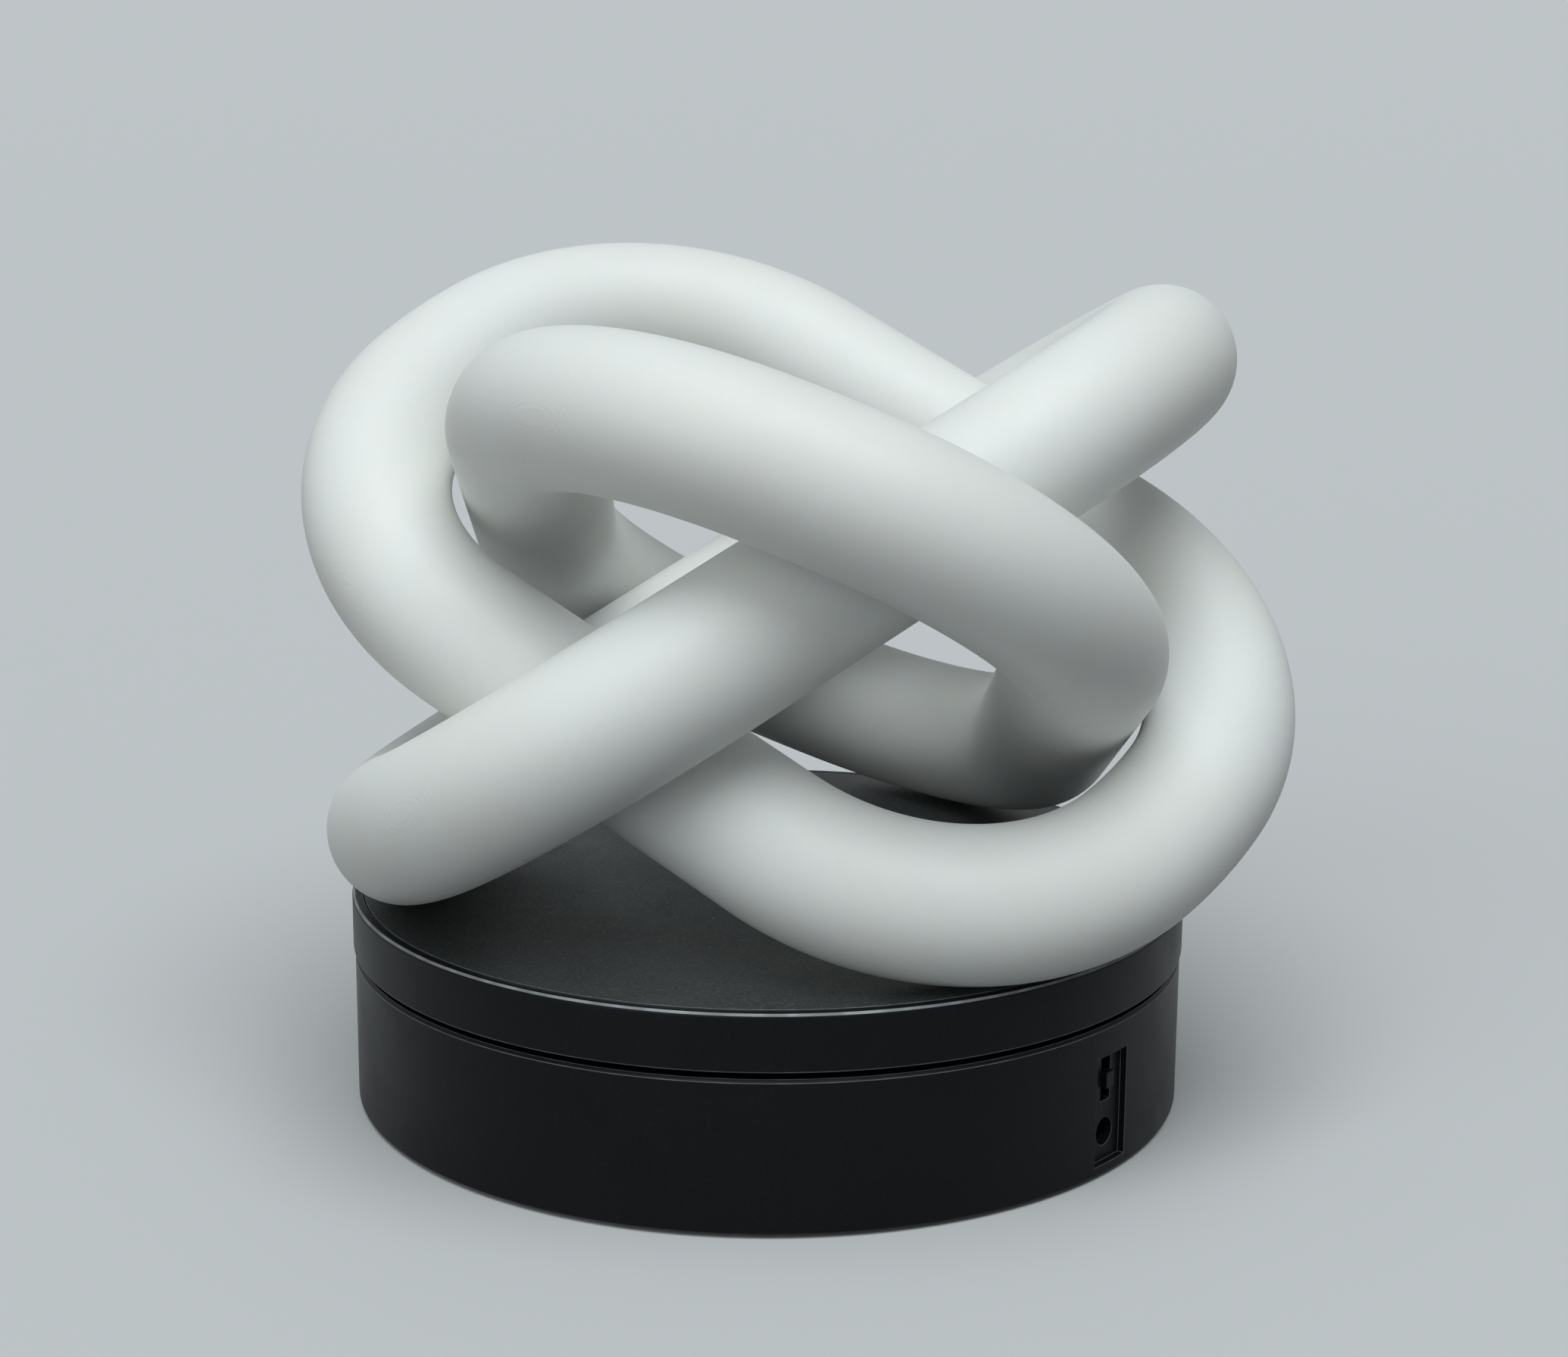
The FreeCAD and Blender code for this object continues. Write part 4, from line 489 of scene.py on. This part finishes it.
def node(tree, kind, inputs=(), **settings):
    """Adds a shader node with its settings, its values and its links."""
    made = tree.nodes.new(kind)
    for key, value in settings.items():
        setattr(made, key, value)
    for key, value in dict(inputs).items():
        if isinstance(value, bpy.types.NodeSocket):
            tree.links.new(value, made.inputs[key])
        else:
            made.inputs[key].default_value = value
    return made


def math_node(tree, operation, *values):
    """A Math node's result."""
    return node(tree, "ShaderNodeMath", enumerate(values), operation=operation).outputs[0]


def noise(tree, place, scale, detail, distortion=0.0):
    """Soft uneven noise from 0 to 1."""
    made = node(tree, "ShaderNodeTexNoise", {
        "Vector": place, "Scale": scale, "Detail": detail, "Distortion": distortion})
    return made.outputs["Fac"]


def span(tree, value, low, high, to_low=0.0, to_high=1.0):
    """A value carried smoothly from one range to another."""
    made = node(tree, "ShaderNodeMapRange", {
        "Value": value, "From Min": low, "From Max": high, "To Min": to_low, "To Max": to_high},
        interpolation_type="SMOOTHSTEP")
    return made.outputs["Result"]


def blend(tree, share, first, second):
    """Two colours mixed by a share that changes over the surface."""
    made = node(tree, "ShaderNodeMix", {MIX_SHARE: share}, data_type="RGBA")
    for index, value in ((MIX_FIRST, first), (MIX_SECOND, second)):
        if isinstance(value, bpy.types.NodeSocket):
            tree.links.new(value, made.inputs[index])
        else:
            made.inputs[index].default_value = (*value, 1)
    return made.outputs[MIX_RESULT]


def scaled(colour, factor):
    """A colour made lighter or darker."""
    return [channel * factor for channel in colour]


def start_effect(name, sockets, results):
    """An empty shader effect: its tree, its inputs and the sockets its results go to."""
    tree = bpy.data.node_groups.new(name, "ShaderNodeTree")
    kinds = {"value": "NodeSocketFloat", "vector": "NodeSocketVector"}
    for label, kind in sockets:
        tree.interface.new_socket(label, in_out="INPUT", socket_type=kinds[kind])
    for label in results:
        tree.interface.new_socket(label, in_out="OUTPUT", socket_type="NodeSocketFloat")
    inside = tree.nodes.new("NodeGroupInput").outputs
    outside = tree.nodes.new("NodeGroupOutput").inputs
    return tree, inside, outside


def grain_effect():
    """Fine grain: a height for bump and a tone for colour."""
    tree, given, out = start_effect(
        "Fine grain", (("Vector", "vector"), ("Size", "value"), ("Detail", "value")),
        ("Height", "Tone"))
    scale = math_node(tree, "DIVIDE", 1.0, given["Size"])
    tree.links.new(noise(tree, given["Vector"], scale, given["Detail"]), out["Height"])
    coarseness = 9.0
    coarse_scale = math_node(tree, "DIVIDE", scale, coarseness)
    coarse = noise(tree, given["Vector"], coarse_scale, detail=3.0)
    tree.links.new(span(tree, coarse, low=0.3, high=0.7), out["Tone"])
    return tree


def speck_effect():
    """Sparse round specks of a given size and share."""
    tree, given, out = start_effect(
        "Sparse specks", (("Vector", "vector"), ("Spacing", "value"), ("Size", "value"),
                          ("Share", "value")), ("Mask",))
    scale = math_node(tree, "DIVIDE", 1.0, given["Spacing"])
    cells = node(tree, "ShaderNodeTexVoronoi", {"Vector": given["Vector"], "Scale": scale})
    reach = math_node(tree, "DIVIDE", given["Size"], given["Spacing"])
    near = math_node(tree, "SUBTRACT", 1.0,
                     math_node(tree, "DIVIDE", cells.outputs["Distance"], reach))
    parts = node(tree, "ShaderNodeSeparateColor", {"Color": cells.outputs["Color"]})
    chosen = math_node(tree, "LESS_THAN", parts.outputs["Red"], given["Share"])
    dot = span(tree, near, low=0.0, high=0.35)
    tree.links.new(math_node(tree, "MULTIPLY", dot, chosen), out["Mask"])
    return tree


def layer_effect():
    """Printed layers, seen as contour steps where a surface faces the way they were laid."""
    tree, given, out = start_effect(
        "Layer steps", (("Vector", "vector"), ("Normal", "vector"), ("Axis", "vector"),
                        ("Layer", "value"), ("Reach", "value")), ("Height",))
    along, facing = (
        node(tree, "ShaderNodeVectorMath", {0: given[vector], 1: given["Axis"]},
             operation="DOT_PRODUCT").outputs["Value"] for vector in ("Vector", "Normal"))
    wobble = noise(tree, given["Vector"], scale=160.0, detail=2.0)
    wobble_layers, half_layer = 0.7, 0.5
    count = math_node(tree, "ADD", math_node(tree, "DIVIDE", along, given["Layer"]),
                      math_node(tree, "MULTIPLY", wobble, wobble_layers))
    step = math_node(tree, "PINGPONG", count, half_layer)
    mask = span(tree, math_node(tree, "ABSOLUTE", facing), given["Reach"], 1.0)
    tree.links.new(math_node(tree, "MULTIPLY", step, mask), out["Height"])
    return tree


def smudge_effect():
    """Soft patches, as handling leaves on a satin surface."""
    tree, given, out = start_effect(
        "Soft smudges", (("Vector", "vector"), ("Size", "value"), ("Low", "value"),
                         ("High", "value")), ("Value",))
    scale = math_node(tree, "DIVIDE", 1.0, given["Size"])
    patches = noise(tree, given["Vector"], scale, detail=4.0, distortion=0.6)
    tree.links.new(span(tree, patches, 0.3, 0.7, given["Low"], given["High"]), out["Value"])
    return tree


def wear_and_sheen_effect():
    """Rubbed and lit edges: the rounded edges of a piece, painted paler here and there, partly as
    rubbing and partly as painted highlight.
    """
    tree, given, out = start_effect(
        "Worn and lit edges", (("Vector", "vector"), ("Size", "value"), ("Least", "value")), ("Mask",))
    edge = node(tree, "ShaderNodeAttribute", attribute_name="edge").outputs["Fac"]
    scale = math_node(tree, "DIVIDE", 1.0, given["Size"])
    uneven = noise(tree, given["Vector"], scale, detail=5.0)
    broken = span(tree, uneven, 0.4, 0.68, given["Least"], 1.0)
    tree.links.new(math_node(tree, "MULTIPLY", edge, broken), out["Mask"])
    return tree


EFFECT_MAKERS = {"grain": grain_effect, "specks": speck_effect, "layers": layer_effect,
                 "smudges": smudge_effect, "wear_and_sheen": wear_and_sheen_effect}
EFFECTS = {}


def effect(tree, name, **inputs):
    """The results of a shared effect, placed in a material with that material's own values."""
    if name not in EFFECTS:
        EFFECTS[name] = EFFECT_MAKERS[name]()
    return node(tree, "ShaderNodeGroup", inputs, node_tree=EFFECTS[name]).outputs


def start_material(name, colour, roughness, metallic=0.0):
    """A material, its tree, its shader and the place of each point on the piece."""
    material = bpy.data.materials.new(name)
    material.use_nodes = True
    tree = material.node_tree
    shader = tree.nodes["Principled BSDF"]
    shader.inputs["Base Color"].default_value = (*colour, 1)
    shader.inputs["Roughness"].default_value = roughness
    shader.inputs["Metallic"].default_value = metallic
    material.diffuse_color = (*colour, 1)
    return material, tree, shader, node(tree, "ShaderNodeTexCoord").outputs


def raise_surface(tree, shader, height, distance):
    """Feeds a height to the shader's normal."""
    bump = node(tree, "ShaderNodeBump", {"Height": height, "Distance": distance})
    tree.links.new(bump.outputs["Normal"], shader.inputs["Normal"])


def nylon_material(look):
    """Sintered nylon: matte white with fine powder grain, layer steps and dark specks."""
    material, tree, shader, where = start_material("Sintered nylon", look.colour, look.roughness)
    at = where["Object"]
    aged = effect(tree, "smudges", Vector=at, Size=30 * MM, Low=0.0, High=0.4)["Value"]
    specks = effect(tree, "specks", Vector=at, Spacing=9 * MM, Size=0.22 * MM, Share=0.08)["Mask"]
    colour = blend(tree, aged, look.colour, look.aged)
    burnt = (0.22, 0.21, 0.18)
    tree.links.new(blend(tree, specks, colour, burnt), shader.inputs["Base Color"])
    rough = effect(tree, "smudges", Vector=at, Size=12 * MM, Low=look.roughness - 0.04,
                   High=look.roughness + 0.06)["Value"]
    tree.links.new(rough, shader.inputs["Roughness"])
    shader.inputs["Subsurface Weight"].default_value = 0.5
    shader.inputs["Subsurface Radius"].default_value = (1.0, 0.8, 0.5)
    shader.inputs["Subsurface Scale"].default_value = 4.5 * MM
    grain = effect(tree, "grain", Vector=at, Size=0.35 * MM, Detail=3.0)["Height"]
    layers = effect(tree, "layers", Vector=at, Normal=where["Normal"], Axis=LAYER_AXIS,
                    Layer=look.layer, Reach=0.975)["Height"]
    grain_share = 0.35
    height = math_node(tree, "ADD", math_node(tree, "MULTIPLY", grain, grain_share), layers)
    raise_surface(tree, shader, height, distance=0.05 * MM)
    return material


def moulding_material(name, colour, roughness, wear_and_highlight=(0.34, 0.36, 0.38), dust=0.05,
                      relief=0.012 * MM, gloss=0.3, mottle=0.3):
    """Satin moulded plastic with rubbed edges that also carry painted highlight, soft smudges and
    a little dust.
    """
    material, tree, shader, where = start_material(name, colour, roughness)
    at = where["Object"]
    shader.inputs["Specular IOR Level"].default_value = gloss
    edge_wear_and_sheen = effect(tree, "wear_and_sheen", Vector=at, Size=4 * MM, Least=0.65)["Mask"]
    tone = effect(tree, "smudges", Vector=at, Size=25 * MM, Low=0.0, High=0.5)["Value"]
    grain = effect(tree, "grain", Vector=at, Size=0.45 * MM, Detail=2.0)["Height"]
    specks = effect(tree, "specks", Vector=at, Spacing=4.5 * MM, Size=0.17 * MM,
                    Share=dust)["Mask"]
    smudged = blend(tree, tone, colour, scaled(colour, 1.5))
    mottling = span(tree, grain, 0.45, 0.75, to_high=mottle)
    mottled = blend(tree, mottling, smudged, scaled(colour, 3))
    # Rounded edges painted toward pale grey: rubbed plastic and a painted highlight line
    worn_and_lit_colour = blend(tree, edge_wear_and_sheen, mottled, wear_and_highlight)
    pale_dust = (0.4, 0.41, 0.42)
    tree.links.new(blend(tree, specks, worn_and_lit_colour, pale_dust), shader.inputs["Base Color"])
    satin = effect(tree, "smudges", Vector=at, Size=20 * MM, Low=roughness - 0.03,
                   High=roughness + 0.05)["Value"]
    most_polish = 0.12
    polish = math_node(tree, "MULTIPLY", edge_wear_and_sheen, most_polish)
    tree.links.new(math_node(tree, "SUBTRACT", satin, polish), shader.inputs["Roughness"])
    raise_surface(tree, shader, grain, relief)
    return material


def metal_material(name, colour, roughness):
    """Metal with fine lines of turning or grinding, and slight tarnish."""
    material, tree, shader, where = start_material(name, colour, roughness, 1.0)
    at = where["Object"]
    tarnish = effect(tree, "smudges", Vector=at, Size=5 * MM, Low=0.0, High=0.55)["Value"]
    tree.links.new(blend(tree, tarnish, colour, scaled(colour, 0.62)),
                   shader.inputs["Base Color"])
    rough = effect(tree, "smudges", Vector=at, Size=3 * MM, Low=roughness - 0.06,
                   High=roughness + 0.1)["Value"]
    tree.links.new(rough, shader.inputs["Roughness"])
    drawn = node(tree, "ShaderNodeMapping", {"Vector": at, "Scale": (0.15, 0.15, 1.0)})
    lines = effect(tree, "grain", Vector=drawn.outputs["Vector"], Size=0.4 * MM,
                   Detail=2.0)["Height"]
    raise_surface(tree, shader, lines, distance=0.01 * MM)
    return material


def rubber_material():
    """Soft matte rubber with a fine grain and dust on it."""
    colour, dusty, most_dust = (0.025, 0.025, 0.026), (0.075, 0.073, 0.07), 0.4
    material, tree, shader, where = start_material("Foot rubber", colour, roughness=0.8)
    grain = effect(tree, "grain", Vector=where["Object"], Size=0.3 * MM, Detail=4.0)
    dust = math_node(tree, "MULTIPLY", grain["Tone"], most_dust)
    tree.links.new(blend(tree, dust, colour, dusty), shader.inputs["Base Color"])
    raise_surface(tree, shader, grain["Height"], distance=0.03 * MM)
    return material


def cell_material():
    """A cell's plain sleeve: dark, with a band at its plus end and bare steel ends."""
    dark, copper, bare = (0.03, 0.03, 0.035), (0.55, 0.27, 0.08), (0.62, 0.62, 0.61)
    band_start, plus_steel, minus_steel = 0.48, 1.15 * MM, 1.9 * MM
    material, tree, shader, where = start_material("Cell sleeve", dark, roughness=0.35)
    low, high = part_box("battery_cells")
    middle, half = (low + high) / 2, (high.y - low.y) / 2
    at = node(tree, "ShaderNodeSeparateXYZ", {0: where["Object"]}).outputs
    along = math_node(tree, "SUBTRACT", at["Y"], middle.y)
    side = math_node(tree, "SIGN", math_node(tree, "SUBTRACT", middle.x, at["X"]))
    toward = math_node(tree, "MULTIPLY", along, side)
    band = math_node(tree, "GREATER_THAN", toward, half * band_start)
    steel = math_node(
        tree, "MAXIMUM", math_node(tree, "GREATER_THAN", toward, half - plus_steel),
        math_node(tree, "LESS_THAN", toward, minus_steel - half))
    sleeve = blend(tree, band, dark, copper)
    tree.links.new(blend(tree, steel, sleeve, bare), shader.inputs["Base Color"])
    tree.links.new(steel, shader.inputs["Metallic"])
    rough = effect(tree, "smudges", Vector=where["Object"], Size=8 * MM, Low=0.28, High=0.42)
    tree.links.new(rough["Value"], shader.inputs["Roughness"])
    return material


def board_material():
    """Green board with copper tracks under the resist, solder dots and black parts."""
    green, covered, over_track = (0.02, 0.16, 0.06), (0.012, 0.13, 0.045), (0.03, 0.26, 0.09)
    solder, black = (0.7, 0.7, 0.68), (0.02, 0.02, 0.022)
    proud = 0.1 * MM
    material, tree, shader, where = start_material("Circuit board", green, roughness=0.35)
    turned = node(tree, "ShaderNodeMapping", {
        "Vector": where["Object"], "Rotation": (0, 0, -PORT_HEADING)})
    at = node(tree, "ShaderNodeSeparateXYZ", {0: turned.outputs["Vector"]}).outputs
    flat = node(tree, "ShaderNodeCombineXYZ", {"X": at["Y"], "Y": at["Z"]}).outputs["Vector"]
    tracks = node(tree, "ShaderNodeTexBrick", {
        "Vector": flat, "Scale": 1.0, "Mortar Size": 0.25 * MM, "Mortar Smooth": 0.2,
        "Brick Width": 4.1 * MM, "Row Height": 1.6 * MM}).outputs["Fac"]
    dots = effect(tree, "specks", Vector=flat, Spacing=2.1 * MM, Size=0.5 * MM,
                  Share=0.5)["Mask"]
    part = math_node(tree, "LESS_THAN", at["X"], BOARD_INNER - proud)
    resist = blend(tree, tracks, covered, over_track)
    soldered = blend(tree, dots, resist, solder)
    tree.links.new(blend(tree, part, soldered, black), shader.inputs["Base Color"])
    bare = math_node(tree, "MULTIPLY", dots, math_node(tree, "SUBTRACT", 1.0, part))
    tree.links.new(bare, shader.inputs["Metallic"])
    raise_surface(tree, shader, math_node(tree, "ADD", tracks, dots), distance=0.04 * MM)
    return material


MATERIALS = {}


def materials():
    """Every finish by the record's slot, made once."""
    if MATERIALS:
        return MATERIALS
    scene = bpy.context.scene
    nylon, base = scene.ring_nylon, scene.ring_base
    MATERIALS.update({
        "sintered_nylon": nylon_material(nylon),
        "black_moulding": moulding_material("Black moulding", base.black, base.roughness,
                                            gloss=0.12),
        "plate_film": moulding_material("Plate sheet", base.film, 0.45, dust=0.08,
                                        relief=0.05 * MM, mottle=0.9),
        "grey_moulding": moulding_material("Grey moulding", (0.2, 0.2, 0.21), 0.45, dust=0.02),
        "white_acetal": moulding_material("White acetal", (0.78, 0.78, 0.74), 0.32,
                                          wear_and_highlight=(0.85, 0.85, 0.82), dust=0.0, gloss=0.5,
                                          mottle=0.0),
        "ground_steel": metal_material("Ground steel", (0.6, 0.61, 0.62), 0.22),
        "plated_steel": metal_material("Plated steel", (0.66, 0.66, 0.64), 0.32),
        "screw_steel": metal_material("Blackened steel", (0.2, 0.2, 0.21), 0.4),
        "turned_brass": metal_material("Turned brass", (0.75, 0.56, 0.27), 0.26),
        "foot_rubber": rubber_material(),
        "cell_sleeve": cell_material(),
        "circuit_board": board_material(),
        "wire_sheath": moulding_material("Wire sheath", (0.32, 0.02, 0.02), 0.5, dust=0.0,
                                         mottle=0.1),
    })
    return MATERIALS


def dress(piece, slot):
    """Gives a piece its finish."""
    piece.data.materials.clear()
    piece.data.materials.append(materials()[slot])


def dress_nodes(*names):
    """Gives CAD nodes that stay as they are their finish."""
    for name in names:
        dress(NODES[name], SLOTS[name])


def seen_directly(tree):
    """1 for what the camera, gloss or glass sees, and 0 for the light that falls on things."""
    ray = node(tree, "ShaderNodeLightPath").outputs
    return math_node(tree, "MAXIMUM", ray["Is Camera Ray"], math_node(
        tree, "MAXIMUM", ray["Is Glossy Ray"], ray["Is Transmission Ray"]))


# Operators

class SetCamera(bpy.types.Operator):
    """Stand the camera where the photograph was taken from"""
    bl_idname = "ring_sculpture.set_camera"
    bl_label = "Set Camera"

    def execute(self, context):
        data = bpy.data.cameras.new("photo_camera")
        data.sensor_width = SENSOR_WIDTH
        data.lens = context.scene.ring_stage.focal_length
        data.clip_start, data.clip_end = CLIP_NEAR, CLIP_FAR
        camera = add_object("photo_camera", data)
        turn = Matrix(CAMERA_AXES).transposed().to_4x4()
        camera.matrix_world = Matrix.Translation(CAMERA_PLACE) @ turn
        context.scene.camera = camera
        return {"FINISHED"}


class AddLeads(bpy.types.Operator):
    """Lay the wires from the circuit board to the motor and the battery case"""
    bl_idname = "ring_sculpture.add_leads"
    bl_label = "Add Leads"

    def execute(self, context):
        for name, route in MOTOR_LEADS.items():
            piece, exit_point = self.add_lead(name, route, "motor_leads")
        for name, route in BATTERY_LEADS.items():
            self.add_lead(name, route, "battery_leads")
        return {"FINISHED"}

    def add_lead(self, name, route, node_name):
        """One insulated wire along the smooth line of its route, and where it starts."""
        points = [(x * MM, y * MM, LEAD_HEIGHT) for x, y in route]
        curve = bpy.data.curves.new(name, "CURVE")
        curve.dimensions = "3D"
        curve.bevel_depth = 1
        curve.bevel_resolution = 6
        curve.resolution_u = 16
        curve.use_fill_caps = True
        spline = curve.splines.new("NURBS")
        spline.points.add(len(points) - 1)
        for point, place in zip(spline.points, points):
            point.co = (*place, 1)
            point.radius = LEAD_DIAMETER / 2
        spline.order_u = 3
        spline.use_endpoint_u = True
        return add_piece(name, curve, "base", "wire_sheath", node_name), points[0]


class AddRings(bpy.types.Operator):
    """Sweep the three interlocked rings of sintered nylon"""
    bl_idname = "ring_sculpture.add_rings"
    bl_label = "Add Rings"

    def execute(self, context):
        for side in RINGS:
            name = side + "_ring_tube"
            mesh = ring_mesh(name, side, context.scene.ring_sizes)
            add_piece(name, mesh, "ring_low_" + side, "sintered_nylon", side + "_ring")
        return {"FINISHED"}


class AddPlate(bpy.types.Operator):
    """Turn the plate that carries the rings, with its dark sheet"""
    bl_idname = "ring_sculpture.add_plate"
    bl_label = "Add Turning Plate"

    def execute(self, context):
        edge = context.scene.ring_base.edge
        add_piece("turning_plate_moulding", plate_mesh(edge), "turntable", "black_moulding",
                  "turning_plate")
        add_rounded_copy("plate_sheet", "plate_inlay", SHEET_EDGE)
        return {"FINISHED"}


class AddDrum(bpy.types.Operator):
    """Dress the drum, its cover, the lid, the feet and their screws"""
    bl_idname = "ring_sculpture.add_drum"
    bl_label = "Add Drum"

    def execute(self, context):
        for node_name, (name, width) in ROUNDED_DRUM.items():
            add_rounded_copy(node_name, name, width)
        return {"FINISHED"}


class FinishDrive(bpy.types.Operator):
    """Dress the motor, the gears, the spindle and the rollers"""
    bl_idname = "ring_sculpture.finish_drive"
    bl_label = "Finish Drive"

    def execute(self, context):
        dress_nodes("spindle", "spindle_bush", "drive_gear", "second_gear", "first_gear",
                    "motor_pinion", "gear_pins", "gear_frame", "gear_frame_screws",
                    "motor_can", "motor_end_cap", "motor_shaft", "motor_bracket",
                    "motor_screws", "roller_back", "roller_left", "roller_right",
                    "roller_pins")
        return {"FINISHED"}


class FinishPower(bpy.types.Operator):
    """Dress the cells, the contacts, the board, the switch and the socket"""
    bl_idname = "ring_sculpture.finish_power"
    bl_label = "Finish Power"

    def execute(self, context):
        dress_nodes("battery_cells", "battery_contacts", "control_board", "switch_body",
                    "switch_slider", "power_socket", "socket_pin")
        return {"FINISHED"}


class AddStage(bpy.types.Operator):
    """Lay the plain pale floor and set the soft lamps"""
    bl_idname = "ring_sculpture.add_stage"
    bl_label = "Add Stage"

    def execute(self, context):
        look = context.scene.ring_stage
        self.add_floor(look)
        self.set_sky(context.scene, look)
        self.add_lamp("key_lamp", look.key_power, look.tint, KEY_HEADING)
        self.add_lamp("front_lamp", look.front_power, look.tint, FRONT_HEADING)
        context.scene.view_settings.view_transform = "Standard"
        return {"FINISHED"}

    def add_floor(self, look):
        """A wide plain floor that takes the object's shadow."""
        work = bmesh.new()
        bmesh.ops.create_circle(work, cap_ends=True, segments=FLOOR_STEPS, radius=FLOOR_RADIUS)
        mesh = bpy.data.meshes.new("floor")
        work.to_mesh(mesh)
        work.free()
        floor = add_object("floor", mesh)
        material, tree, shader, _ = start_material("Pale floor", look.floor, roughness=0.7)
        shader.inputs["Specular IOR Level"].default_value = 0.2
        shaded = blend(tree, seen_directly(tree), scaled(look.floor, look.bounce), look.floor)
        tree.links.new(shaded, shader.inputs["Base Color"])
        mesh.materials.append(material)

    def set_sky(self, scene, look):
        """Pale surroundings for the eye and for gloss, and a level fill for light."""
        world = bpy.data.worlds.new("surroundings")
        world.use_nodes = True
        tree = world.node_tree
        strength = node(tree, "ShaderNodeMix", {
            "Factor": seen_directly(tree), "A": look.fill, "B": look.sky}, data_type="FLOAT")
        background = tree.nodes["Background"]
        background.inputs["Color"].default_value = (*look.tint, 1)
        tree.links.new(strength.outputs["Result"], background.inputs["Strength"])
        scene.world = world

    def add_lamp(self, name, power, tint, heading):
        """A wide soft lamp far off, that lights the floor and the rings evenly."""
        data = bpy.data.lights.new(name, "SUN")
        data.energy = power
        data.color = tint
        data.angle = LAMP_SPREAD
        lamp = add_object(name, data)
        lamp.rotation_mode = "QUATERNION"
        lamp.rotation_quaternion = Vector(heading).to_track_quat("Z", "Y")


OPERATORS = (SetCamera, AddLeads, AddRings, AddPlate, AddDrum, FinishDrive, FinishPower, AddStage)


class RingSculpturePanel(bpy.types.Panel):
    """Lists the pieces of the sculpture and the sizes that go with them"""
    bl_idname = "VIEW3D_PT_ring_sculpture"
    bl_label = "Ring Sculpture"
    bl_space_type = "VIEW_3D"
    bl_region_type = "UI"
    bl_category = "Ring Sculpture"

    def draw(self, context):
        for group in (context.scene.ring_sizes, context.scene.ring_nylon,
                      context.scene.ring_base, context.scene.ring_stage):
            box = self.layout.box()
            for key in group.__annotations__:
                box.prop(group, key)
        for operator in OPERATORS:
            self.layout.operator(operator.bl_idname)


GROUPS = {"ring_sizes": RingSizes, "ring_nylon": NylonLook, "ring_base": BaseLook,
          "ring_stage": StageLook}
CLASSES = (*GROUPS.values(), *OPERATORS, RingSculpturePanel)


def register():
    for kind in CLASSES:
        bpy.utils.register_class(kind)
    for name, kind in GROUPS.items():
        setattr(bpy.types.Scene, name, PointerProperty(type=kind))


def unregister():
    for name in GROUPS:
        delattr(bpy.types.Scene, name)
    for kind in reversed(CLASSES):
        bpy.utils.unregister_class(kind)


def main():
    register()
    for operator in OPERATORS:
        group, name = operator.bl_idname.split(".")
        getattr(getattr(bpy.ops, group), name)()


if __name__ == "__main__":
    main()
